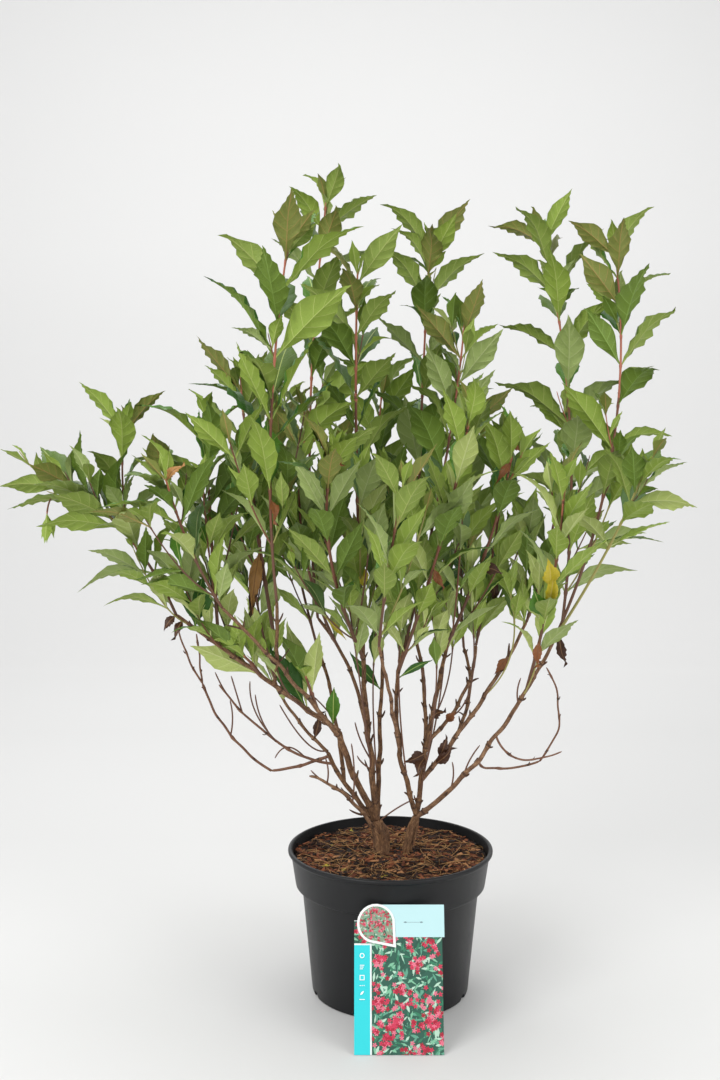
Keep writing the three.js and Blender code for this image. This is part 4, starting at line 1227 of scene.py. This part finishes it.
def tintFor(age, spray, roll):
    deep, pale, bronze = spray
    chance = roll(0, 1)
    if age > ageTints["tip"]:
        return "bronze" if chance < bronze * ageTints["tipBronze"] else "fresh"
    if age > ageTints["young"]:
        return "bronze" if chance < bronze else "olive" if chance < ageTints["olive"] else "fresh"
    if chance < deep + pale:
        return "deep" if chance < deep else "pale"
    return roll.pick(("olive", "grey", "fresh"))


def lifted(leaf):
    # all leaves are drawn out to a longer point
    base, out = leaf["base"], leaf["out"]
    low = np.clip((lift["above"] - base.z) / lift["fade"], 0, 1)
    inner = np.clip((lift["halfWidth"] - abs(base.x)) / lift["side"], 0, 1)
    out = (out + up * (lift["most"] * low * inner)).normalized()
    face = (leaf["face"] - out * leaf["face"].dot(out)).normalized()
    length = leaf["length"] * blade["stretch"]
    tip = np.array(base + out * length)
    if (tip < boxLow + lift["room"]).any() or (tip > boxHigh - lift["room"]).any():
        length = leaf["length"]
    sag = leaf["sag"] * (1 - lift["lessSag"] * low * inner)
    return {**leaf, "out": out, "face": face, "length": length, "sag": sag}


def makeLeaves(mass, seed):
    roll, heap = Dice(seed), Heap()
    # a shoot whose middle lies behind the stems takes the back mix, with its painted shade
    place = "low" if mass not in shoots else "back" if laid[mass]["curve"].at(0.5).y > 0.04 else "usual"
    spray = sprayTints.get(mass, sprayTints[place])
    for leaf in plant.leaves[mass]:
        crumple = float(np.interp(leaf["base"].z, blade["heights"], blade["crumple"]))
        addBlade(heap, lifted(leaf), tintFor(leaf["age"], spray, roll), roll, crumple=crumple)
    if heap.count:
        heap.build("leaves_" + mass, leafShades, "foliage", [mass] if mass in shoots else [])
    return sum(len(sizes) for sizes in heap.sizes)


faceCount = sum(makeLeaves(mass, seeds["leaves"] + index) for index, mass in enumerate(plant.leaves))
print("leaves:", faceCount, "faces")


# Pot

pot = {
    # radius and height along the outside, over the lip and down the inside, in millimetres
    "outside": ((0, 0), (107.5, 0), (110.3, 1.2), (111.2, 4), (124.8, 147.5), (125.6, 150.5), (126.8, 152.2),
                (132.5, 153.2), (133.9, 154.5), (134.5, 157.5), (140.5, 197.5)),
    "lip": ((141.8, 199.2), (143.8, 199.9), (144.8, 201.3), (145, 203.2), (144.5, 204.9), (143.2, 205.8),
            (141.2, 206), (139.6, 205.5), (138.6, 204)),
    "inside": ((131.6, 155.4), (129.6, 153.5), (123.1, 152), (122.4, 149), (108.8, 5), (106.5, 3), (0, 3)),
    "segments": 144, "notches": 8, "notchWidth": 0.015, "notchHeight": 0.009, "notchDepth": 0.012,
    "notchRadius": 0.111, "firstNotch": 20, "sharp": 40, "paintedShadeAbove": 0.15,
    "looks": (("moulded_plastic", ((0.3, "#0a0b0d"), (0.55, "#0f1013"), (0.75, "#16171a")), 0.38),
              # the second, near-black and less shiny copy of the plastic is painted shade for the inside of
              # the pot
              ("inner_wall_painted_shade", ((0.3, "#040405"), (0.55, "#060607"), (0.75, "#09090a")), 0.15)),
    # textures: stretch where there is one, then scale, detail and mix; scuffs lie above the first limit
    "grit": (2600, 3, 0.6), "clouds": (14, 4), "streaks": ((9, 9, 0.8), 12, 3),
    "scuffs": ((1, 1, 6), 60, 5, 0.7), "scuffLimits": (0.6, 0.78), "scuffTone": "#31302f",
}


def lathe(name, profile, segments):
    mesh = bpy.data.meshes.new(name)
    build = bmesh.new()
    rings = []
    for radius, height in profile:
        turns = ring(segments) if radius else [0]
        rings.append([build.verts.new((radius * math.cos(a), radius * math.sin(a), height)) for a in turns])
    for lower, higher in zip(rings, rings[1:]):
        for i in range(segments):
            j = (i + 1) % segments
            if len(lower) == 1:
                build.faces.new((lower[0], higher[j], higher[i]))
            elif len(higher) == 1:
                build.faces.new((lower[i], lower[j], higher[0]))
            else:
                build.faces.new((lower[i], lower[j], higher[j], higher[i]))
    build.to_mesh(mesh)
    build.free()
    return stand(name, mesh)


def potShader(name, tones, shine):
    shader = Shader(name, tones[1][1], 0.42, Specular_IOR_Level=shine)
    place = shader.place()
    drawn = lambda stretch, *texture: shader.noise(shader.stretched(place, stretch), *texture)
    grit = shader.noise(place, *pot["grit"])
    clouds = shader.noise(place, *pot["clouds"])
    streaks = drawn(*pot["streaks"])
    scuffs = shader.step(drawn(*pot["scuffs"]), *pot["scuffLimits"])
    colour = shader.tones(clouds * 0.6 + streaks * 0.4, tones)
    shader.feed("Base Color", shader.overlay(scuffs * 0.25, colour, pot["scuffTone"]))
    shader.feed("Roughness", 0.34 + clouds * 0.14 + scuffs * 0.2)
    shader.relief(grit * 0.6 + streaks * 0.4, 0.0004, 0.6)
    return shader.material


def cutNotch(piece, turn):
    # a short round bar across the wall at the foot, so the notch has an arched top
    radius = pot["notchWidth"] / 2
    cutter = lathe("notch_cutter", ((0, -1), (radius, -1), (radius, 1), (0, 1)), 24)
    cutter.data.transform(Matrix.Scale(pot["notchDepth"], 4, up))
    cutter.data.transform(Matrix.Rotation(math.pi / 2, 4, "Y"))
    cutter.data.transform(Matrix.Scale(pot["notchHeight"] / radius, 4, up))
    cutter.data.transform(Matrix.Rotation(turn, 4, "Z") @ Matrix.Translation((pot["notchRadius"], 0, 0)))
    cut = piece.modifiers.new("notch", "BOOLEAN")
    cut.operation, cut.solver, cut.object = "DIFFERENCE", "EXACT", cutter
    bpy.context.view_layer.update()
    made = bpy.data.meshes.new_from_object(piece.evaluated_get(bpy.context.evaluated_depsgraph_get()))
    piece.modifiers.clear()
    piece.data = made
    bpy.data.objects.remove(cutter)


def makePot():
    profile = [milli(row) for row in pot["outside"] + pot["lip"] + pot["inside"]]
    piece = lathe("moulded_pot", profile, pot["segments"])
    for look in pot["looks"]:
        piece.data.materials.append(potShader(*look))
    for i in range(pot["notches"]):
        cutNotch(piece, math.radians(pot["firstNotch"] + 360 * i / pot["notches"]))
    piece.data.polygons.foreach_set("use_smooth", np.full(len(piece.data.polygons), True))
    piece.data.set_sharp_from_angle(angle=math.radians(pot["sharp"]))
    for face in piece.data.polygons:
        # the inner wall gets the near-black copy of the plastic: painted shade for the shadow inside the pot
        face.material_index = int(face.normal.xy.dot(face.center.xy) < 0 and face.center.z > pot["paintedShadeAbove"])
    settle(piece, "pot_plastic", "pot")


makePot()
print("pot turned and notched")


# Potting bark: a rough bed with thousands of shreds and fibres on it

bed = {
    "level": 0.1935, "edgeDrop": 0.002, "rim": 0.1355, "rough": 0.0055, "rings": 46, "segments": 128,
    "foot": ((0, 0.0035), (0.108, 0.0035), (0.122, 0.15), (0.1318, 0.158)),      # radius and height
    "tones": ((0.3, "#0c0704"), (0.5, "#22140c"), (0.7, "#4a2d19")), "colour": "#4a3123",
    "lumps": ((42, 3, 1), (110, 9, 0.6)), "grains": (320, 5, 0.7), "relief": 0.004,
    # how many, and the share of the radius that chips, and threads and scraps, reach
    "shreds": 2600, "fibres": 1500, "threads": 130, "scraps": 12, "reach": 0.972, "inner": 0.85,
    "shredTones": ("#66361f", "#2e180e", "#82492b", "#150c07", "#ad7a50"),
    "fibreTones": ("#ab8253", "#603a20", "#2b190e"), "hollows": 24, "hollowBelow": -0.12, "damp": 0.8,
}


def bedHeight(x, y):
    far = math.hypot(x, y) / bed["rim"]
    lumps = sum(weight * noise.noise((x * close, y * close, layer)) for close, layer, weight in bed["lumps"])
    return bed["level"] - bed["edgeDrop"] * far ** 2 + bed["rough"] * lumps


def makeBed():
    rings = [(bed["rim"] * i / bed["rings"], bed["level"]) for i in range(bed["rings"], -1, -1)]
    piece = lathe("bark_bed", [*bed["foot"], *rings], bed["segments"])
    for corner in piece.data.vertices:
        if corner.co.z > bed["foot"][-1][1] + 0.001:
            corner.co.z = bedHeight(corner.co.x, corner.co.y)
    piece.data.polygons.foreach_set("use_smooth", np.full(len(piece.data.polygons), True))
    shader = Shader("bark_bed", bed["colour"], 0.95)
    grains = shader.noise(shader.place(), *bed["grains"])
    shader.feed("Base Color", shader.tones(grains, bed["tones"]))
    shader.relief(grains, bed["relief"])
    piece.data.materials.append(shader.material)
    settle(piece, "bark_substrate", "soil")


def onBed(roll, reach=bed["reach"]):
    far, turn = bed["rim"] * reach * math.sqrt(roll(0, 1)), roll(0, fullTurn)
    x, y = far * math.cos(turn), far * math.sin(turn)
    return Vector((x, y, bedHeight(x, y)))


shred = {
    # length, width and thickness; slope along it, tilt across it, height above the bed
    "size": ((0.004, 0.019), (0.0018, 0.0062), (0.0006, 0.0018)),
    "slope": (-0.35, 0.35), "tilt": (-0.5, 0.5), "lie": (0, 0.0022),
    # size of the end sections, place of the middle one, and place of each corner
    "near": (0.3, 0.8), "middle": (-0.15, 0.15), "far": (0.15, 0.7),
    "along": (-0.06, 0.06), "across": (0.35, 0.6), "deep": (0.3, 0.6),
}


def addShred(heap, centre, roll, kind):
    # a torn flake of bark: four corners at each of three sections, all a little off
    length, width, thick = [roll(*size) for size in shred["size"]]
    turn, lift = roll(0, fullTurn), roll(*shred["slope"])
    out = Vector((math.cos(turn) * math.cos(lift), math.sin(turn) * math.cos(lift), math.sin(lift)))
    side = out.cross(up).normalized()
    side = (side + up * roll(*shred["tilt"])).normalized()
    top = side.cross(out)
    centre = centre + up * roll(*shred["lie"])
    places = []
    for part, size in ((-0.5, roll(*shred["near"])), (roll(*shred["middle"]), 1), (0.5, roll(*shred["far"]))):
        for a, b in ((-1, -1), (1, -1), (1, 1), (-1, 1)):
            places.append(centre + out * (length * (part + roll(*shred["along"])))
                          + side * (a * width * size * roll(*shred["across"]))
                          + top * (b * thick * roll(*shred["deep"])))
    heap.add(places, *ringFaces(3, 4), kind)


fibre = {
    # lengths, radii and greatest lift of short ones and of long threads
    "short": ((0.008, 0.03), (0.00018, 0.0005), 0.005), "thread": ((0.025, 0.06), (0.0003, 0.0006), 0.009),
    "bend": (-0.35, 0.35), "foot": (0, 0.002), "knee": (0.2, 1), "highest": 0.009,
}


def addFibre(heap, centre, roll, kind, lengths, radii, lift):
    length, radius, turn = roll(*lengths), roll(*radii), roll(0, fullTurn)
    out = Vector((math.cos(turn), math.sin(turn), 0))
    side = Vector((-out.y, out.x, 0))
    start = centre - out * length / 2 + up * roll(*fibre["foot"])
    knee = centre + side * (length * roll(*fibre["bend"])) + up * (roll(*fibre["knee"]) * lift)
    tip = centre + out * length / 2 + up * roll(0, lift)
    tip.z = min(tip.z, bed["level"] + fibre["highest"])
    if max(math.hypot(*p.xy) for p in (start, knee, tip)) <= bed["rim"]:
        radiusAt = lambda share, turn: radius * (1 - 0.5 * abs(2 * share - 1))
        addTube(heap, Bend(start, knee, tip), radiusAt, 4, 5, kind=kind)


scrap = {
    # length, height above the bed, sag and rise of a fallen piece of leaf
    "length": (0.01, 0.02), "lie": 0.002, "sag": 0.1, "rise": 0.1,
    # chance of a yellow one, curl and crumple
    "yellow": 0.7, "look": (0.3, 1.5),
}


def addScrap(heap, roll):
    turn = roll(0, fullTurn)
    leaf = {"base": onBed(roll, bed["inner"]) + up * scrap["lie"], "face": up,
            "length": roll(*scrap["length"]), "sag": scrap["sag"],
            "out": Vector((math.cos(turn), math.sin(turn), scrap["rise"])).normalized()}
    tint = "yellow" if roll(0, 1) < scrap["yellow"] else "withered"
    addBlade(heap, leaf, tint, roll, *scrap["look"])


def makeCover():
    roll = Dice(seeds["cover"])
    shreds, fibres, scraps = Heap(), Heap(), Heap()
    for _ in range(bed["shreds"]):
        # darker in the hollows
        spot, kind = onBed(roll), roll.pick(range(5))
        damp = noise.noise((spot.x * bed["hollows"], spot.y * bed["hollows"], 5)) < bed["hollowBelow"]
        addShred(shreds, spot, roll, (1, 3)[kind % 2] if damp and roll(0, 1) < bed["damp"] else kind)
    for _ in range(bed["fibres"]):
        kind = roll.pick((0, 1, 1, 2, 2))
        addFibre(fibres, onBed(roll), roll, kind, *fibre["short"])
    for _ in range(bed["threads"]):
        addFibre(fibres, onBed(roll, bed["inner"]), roll, 0, *fibre["thread"])
    for _ in range(bed["scraps"]):
        addScrap(scraps, roll)
    for heap, kind in ((shreds, "shred"), (fibres, "fibre")):
        shades = [skinShader(kind, f"{kind}_{i}", tone) for i, tone in enumerate(bed[kind + "Tones"])]
        heap.build(f"bark_{kind}s", shades, "bark_substrate", smooth=kind == "fibre")
    scraps.build("fallen_scraps", leafShades, "foliage")


makeBed()
makeCover()
print("potting bark laid")


# Leaves that were set one by one: the large low ones, the odd yellow one and the withered ones

setLook = {
    # curl and crumple of fresh and of dry leaves
    "fresh": (0, 0.8), "dry": (1.1, 2.2), "dryTints": ("rust", "straw", "withered"), "sag": 0.2, "rise": 0.1,
    # how far a face turns aside and up from the front
    "aside": (-0.3, 0.3), "upward": (0.1, 0.5),
}
setLeaves = (
    # limb, share along it, tip, width, tint, and "under" where the underside faces the front
    ("far_left_spray", 0.05, (-318, -113, 608), 22, "grey", "under"),
    ("left_bough", 0.89, (-255, -107, 610), 39, "deep"),
    ("left_bough", 0.79, (-196, -110, 531), 28, "fresh", "under"),
    ("left_bough", 0.52, (-197, -86, 572), 25, "pale", "under"),
    ("left_bough", 0.51, (-275, -85, 509), 36, "pale", "under"),
    ("left_bough", 0.22, (-169, -63, 508), 32, "deep"),
    ("left_bough", 0.21, (-139, -62, 557), 33, "pale", "under"),
    ("left_bough", 0.04, (-80, -52, 452), 22, "fresh"),
    ("centre_back_cane", 0.81, (-63, 39, 476), 21, "deep"),
    ("left_back_spray", 0.34, (-156, 96, 584), 30, "grey", "under"),
    ("front_centre_spray", 0.08, (-27, -129, 585), 19, "grey", "under"),
    ("front_left_spray", 0.4, (-83, -117, 634), 24, "grey", "under"),
    ("centre_shoot", 0.08, (-51, -44, 583), 17, "grey", "under"),
    ("front_centre_spray", 0.39, (-10, -175, 633), 25, "grey", "under"),
    ("left_middle_spray", 0.01, (-235, -100, 540), 17, "pale", "under"),
    ("left_bough", 0.79, (-250, -102, 548), 15, "olive"),
    ("left_stub", 0.86, (-158, 63, 413), 11, "pale", "under"),
    ("left_front_spray", 0.05, (-210, -154, 634), 24, "grey", "under"),
    ("right_inner_shoot", 0.08, (12, -74, 587), 19, "pale", "under"),
    ("front_centre_spray", 0.5, (-2, -189, 663), 30, "grey", "under"),
    ("back_right_spray", 0.35, (104, 147, 650), 30, "grey", "under"),
    ("right_front_cane", 0.83, (56, -64, 490), 11, "deep"),
    ("right_bough", 0.99, (162, 35, 550), 14, "pale", "under"),
    ("right_front_spray", 0.28, (202, -101, 572), 19, "pale", "under"),
    ("right_bough", 0.98, (186, 35, 598), 19, "fresh", "under"),
    ("right_back_cane", 0.98, (59, 59, 550), 18, "pale", "under"),
    ("right_middle_spray", 0.02, (107, 73, 548), 18, "grey", "under"),
    ("centre_left_spray", 0.03, (-76, 41, 553), 18, "grey", "under"),
    ("centre_shoot", 0.22, (-36, -50, 581), 17, "yellow"),
    ("centre_left_spray", 0.18, (-63, 19, 501), 8, "yellow"),
    ("right_front_spray", 0.56, (192, -190, 630), 24, "yellow"),
    ("right_front_spray", 0.44, (208, -170, 615), 18, "yellow"),
    ("right_front_spray", 0.3, (206, -150, 585), 20, "pale"),
    ("right_front_spray", 0.4, (181, -150, 590), 26, "fresh"),
    ("left_tall_spray", 0.45, (-190, -50, 565), 18, "straw"),
    ("left_tall_spray", 0.4, (-196, -40, 540), 13, "withered"),
    ("front_left_spray", 0.98, (-67, -218, 758), 12, "rust"),
    ("red_shoot", 0.29, (-146, -166, 687), 14, "rust"),
    ("right_low_spray", 0.96, (140, -99, 733), 12, "rust"),
    ("left_bough", 1, (-300, -112, 537), 14, "withered"),
    ("left_bough", 0.96, (-285, -120, 530), 12, "withered"),
    ("right_bough", 0.79, (152, 24, 453), 14, "rust"),
    ("far_right_spray", 0.01, (233, -54, 478), 14, "withered"),
    ("right_front_spray", 0.29, (189, -103, 488), 13, "rust"),
    ("right_low_spray", 0.43, (147, -65, 605), 18, "withered"),
    ("right_middle_spray", 0.38, (157, 85, 538), 14, "withered"),
    ("back_right_spray", 0.52, (130, 161, 626), 12, "withered"),
    ("right_middle_spray", 0.99, (197, 84, 768), 14, "rust"),
    ("light_shoot", 0.43, (62, -131, 593), 12, "rust"),
    ("centre_right_shoot", 0.27, (62, 63, 599), 14, "withered"),
    ("right_centre_cane", 0.35, (26, -12, 330), 19, "withered"),
    ("right_centre_cane", 0.33, (36, -26, 322), 17, "withered"),
    ("right_bough", 0.14, (80, -6, 362), 16, "withered"),
    ("right_bough", 0.1, (88, -18, 345), 15, "withered"),
    ("right_centre_cane", 0.55, (70, -12, 406), 16, "withered"),
    ("right_mid_bough", 0.24, (92, 12, 395), 14, "rust"),
    ("left_stub", 0.22, (-99, 38, 386), 14, "withered"),
    ("left_front_spray", 0.98, (-269, -189, 756), 13, "straw"),
)


def makeSetLeaves():
    roll, heap = Dice(seeds["setLeaves"]), Heap()
    for limb, share, tip, width, tint, *under in setLeaves:
        base = laid[limb]["curve"].at(share)
        reach = Vector(milli(tip)) - base
        length = reach.length
        out = (reach + up * (length * setLook["rise"])).normalized()
        face = Vector((roll(*setLook["aside"]), -1, roll(*setLook["upward"]))) * (-1 if under else 1)
        leaf = {"base": base, "out": out, "face": (face - out * face.dot(out)).normalized(), "length": length,
                "sag": setLook["sag"], "half": width / 1000 / 2 / length}
        addBlade(heap, leaf, tint, roll, *setLook["dry" if tint in setLook["dryTints"] else "fresh"])
    heap.build("set_leaves", leafShades, "foliage")


makeSetLeaves()
print("set leaves:", len(setLeaves))


# Picture card: the card, its header and badge stay, with print in thin layers on them

card = {
    "foot": (0.007, -0.2072, 0.0004), "lean": 22.4, "width": 0.115, "height": 0.165,
    # slot, level of the print above the back of the card, and colour of the card, its header and badge
    "plates": {"card": ("card_print", 0.0013, "#f2f6f5"), "header": ("card_header", 0.0026, "#c0e6e9"),
               "badge": ("card_badge", 0.0039, "#f4f6f4")},
    "strip": 0.0205, "stripTop": 0.134, "line": 0.0022, "margin": 0.001, "badgeOpen": (62, 298, 21),
    # rise of a shape, thickness of a shape, and rise between two stages of the card and of the badge
    "rise": 0.0000015, "ink": 0.00006, "stage": 0.0001, "badgeStage": 0.00005,
    # leaves, flowers and scale of the picture, of its corner and of the badge
    "picture": (520, 84, 1), "corner": (30, 9, 1), "badge": (220, 50, 0.45),
    "badgeCentre": (-0.029, 0.161), "badgeRadius": 0.0218, "badgePoint": (-0.0065, 0.135),
    # ground, five leaf tones, three flower tones, strip, marks, header rule, badge ground
    "tones": ("#275c4b", "#5fa388", "#2f7d5c", "#b8dcc6", "#1f5443", "#7fbf9c", "#d8385a", "#b81c3a",
              "#ec7d94", "#27d5dc", "#f4fbfb", "#7b959a", "#8c9c84"),
}
ground, leafTone, flowerTone, stripTone, markTone, ruleTone, badgeTone = 0, 1, 6, 9, 10, 11, 12
bloom = {
    # leaves: length, width, point and rise; clusters: how far they spread and how many flowers they have
    "length": (0.007, 0.014), "width": (0.0018, 0.0045), "point": 0.5, "leafRise": 0.0000007,
    "cluster": (-0.007, 0.007), "flowers": (2, 7),
    # petals: distance from the middle, length and width, rise of one flower above the one before
    "petalAt": 0.0016, "petal": (0.0038, 0.0018), "flowerRise": 0.0000012,
}
# corners, turn and point of a shape, and the plain marks on the strip and the header: shape, distance from
# the middle of the strip or the card, height up the card, width and height in millimetres, tone
shapes = {"round": (20, 0, 0), "dot": (10, 0, 0), "leaf": (12, 0.8, 0.4), "tip": (12, 0, 0.5)}
marks = {
    "strip": (("round", 0, 121, 6.5, 6.5, markTone), ("round", 0, 121, 4.29, 4.29, stripTone),
              ("bar", 0, 109, 6, 1, markTone), ("bar", -0.5, 106.8, 5, 1, markTone),
              ("bar", -1, 104.6, 4, 1, markTone), ("bar", 0, 93.75, 6.5, 6.5, markTone),
              ("bar", 0, 93.75, 13 / 3, 4.5, stripTone), ("dot", -2.5, 84, 1.4, 1.4, markTone),
              ("dot", 0, 84, 1.4, 1.4, markTone), ("dot", 2.5, 84, 1.4, 1.4, markTone),
              ("leaf", 0, 75, 6.5, 2.925, markTone), ("bar", 0, 67, 7, 1, markTone)),
    "header": (("bar", 20, 162.7, 16, 0.4, ruleTone), ("tip", 30.5, 162.7, 5, 2, ruleTone),
               ("tip", 9.5, 162.7, 5, 2, ruleTone)),
}
cardTurn = Matrix.Rotation(math.pi / 2 - math.radians(card["lean"]), 4, "X")
cardPlace = Matrix.Translation(card["foot"]) @ cardTurn


def oval(x, y, length, width, corners, turn=0, point=0):
    # an ellipse, or a leaf shape where point is above 0
    c, s, outline = math.cos(turn), math.sin(turn), []
    for a in ring(corners):
        u, w = length / 2 * math.cos(a), width / 2 * math.sin(a) * (1 - point * abs(math.cos(a)))
        outline.append((x + u * c - w * s, y + u * s + w * c))
    return outline


def block(left, foot, right, top):
    return [(left, foot), (right, foot), (right, top), (left, top)]


class Print:
    # flat shapes on the card, each a hair above the one before
    def __init__(self, level):
        self.heap, self.level = Heap(), level

    def lay(self, outline, kind, rise=card["rise"]):
        levels = (self.level, self.level + card["ink"])
        places = [cardPlace @ Vector((x, y, z)) for z in levels for x, y in outline]
        self.heap.add(places, *ringFaces(2, len(outline)), kind)
        self.level += rise

    def blossoms(self, area, leaves, flowers, scale, roll):
        # a plain bed of leaves with clusters of five-petalled flowers
        low, high = np.min(area, axis=0), np.max(area, axis=0)
        for _ in range(leaves):
            x, y, length = roll(low[0], high[0]), roll(low[1], high[1]), roll(*bloom["length"]) * scale
            width, turn = roll(*bloom["width"]) * scale, roll(0, math.pi)
            shape = inside(area, oval(x, y, length, width, 8, turn, bloom["point"]))
            if shape:
                self.lay(shape, leafTone + roll.pick(range(5)), bloom["leafRise"])
        for _ in range(flowers):
            cx, cy = roll(low[0], high[0]), roll(low[1], high[1])
            for _ in range(int(roll(*bloom["flowers"]))):
                x, y = cx + roll(*bloom["cluster"]) * scale, cy + roll(*bloom["cluster"]) * scale
                first, tone = roll(0, 6), flowerTone + roll.pick(range(3))
                out, length, width = [size * scale for size in (bloom["petalAt"], *bloom["petal"])]
                for petal, turn in enumerate(ring(5, first)):
                    # the petals of one flower lie level
                    px, py = x + out * math.cos(turn), y + out * math.sin(turn)
                    shape = inside(area, oval(px, py, length, width, 6, turn))
                    if shape:
                        self.lay(shape, tone, bloom["flowerRise"] * (petal == 4))


def inside(outline, shape):
    # the part of a shape within a convex outline
    for i, (ax, ay) in enumerate(outline):
        bx, by = outline[(i + 1) % len(outline)]
        kept = []
        for k, (px, py) in enumerate(shape):
            qx, qy = shape[(k + 1) % len(shape)]
            p, q = [(bx - ax) * (y - ay) - (by - ay) * (x - ax) for x, y in ((px, py), (qx, qy))]
            if p >= 0:
                kept.append((px, py))
            if p * q < 0:
                kept.append((px + (qx - px) * p / (p - q), py + (qy - py) * p / (p - q)))
        shape = kept
        if len(shape) < 3:
            return []
    return shape


def drawMarks(layers, rows, middle):
    for shape, *sizes, tone in rows:
        x, y, width, height = milli(sizes)
        x += middle
        if shape == "bar":
            layers.lay(block(x - width / 2, y - height / 2, x + width / 2, y + height / 2), tone)
        else:
            layers.lay(oval(x, y, width, height, *shapes[shape]), tone)


def makeCard():
    roll, half = Dice(seeds["card"]), card["width"] / 2
    for name, (_, _, colour) in card["plates"].items():
        plate = frame["nodes"]["label_" + name]
        plate.data.materials.clear()
        plate.data.materials.append(skinShader("print", f"label_{name}_finish", colour))
    front, header, badge = [Print(level) for _, level, _ in card["plates"].values()]
    edge, top = card["strip"] - half, card["height"] - card["margin"]
    picture = block(edge + card["line"], 0, half, top)
    corner = block(-half, card["stripTop"] + card["line"], edge + card["line"], top)
    front.lay(picture, ground)
    front.lay(block(-half, 0, edge, card["stripTop"]), stripTone)
    front.lay(corner, ground)
    front.level += card["stage"]
    front.blossoms(picture, *card["picture"], roll)
    front.blossoms(corner, *card["corner"], roll)
    front.level += card["stage"]
    drawMarks(front, marks["strip"], (card["strip"] - card["width"]) / 2)
    drawMarks(header, marks["header"], 0)
    # a round badge drawn out to a point
    centre, point, radius = card["badgeCentre"], card["badgePoint"], card["badgeRadius"]
    aim = math.atan2(point[1] - centre[1], point[0] - centre[0])
    turns = [aim + math.radians(turn) for turn in np.linspace(*card["badgeOpen"])]
    drop = [point, *[(centre[0] + radius * math.cos(a), centre[1] + radius * math.sin(a)) for a in turns]]
    badge.lay(drop, badgeTone)
    badge.level += card["badgeStage"]
    badge.blossoms(drop, *card["badge"], roll)
    shades = [skinShader("print", f"print_{i}", tone) for i, tone in enumerate(card["tones"])]
    prints = {"card_picture": front, "header_sprig": header, "badge_picture": badge}
    for (name, layers), (slot, _, _) in zip(prints.items(), card["plates"].values()):
        layers.heap.build(name, shades, slot, smooth=False)


makeCard()
print("card printed")
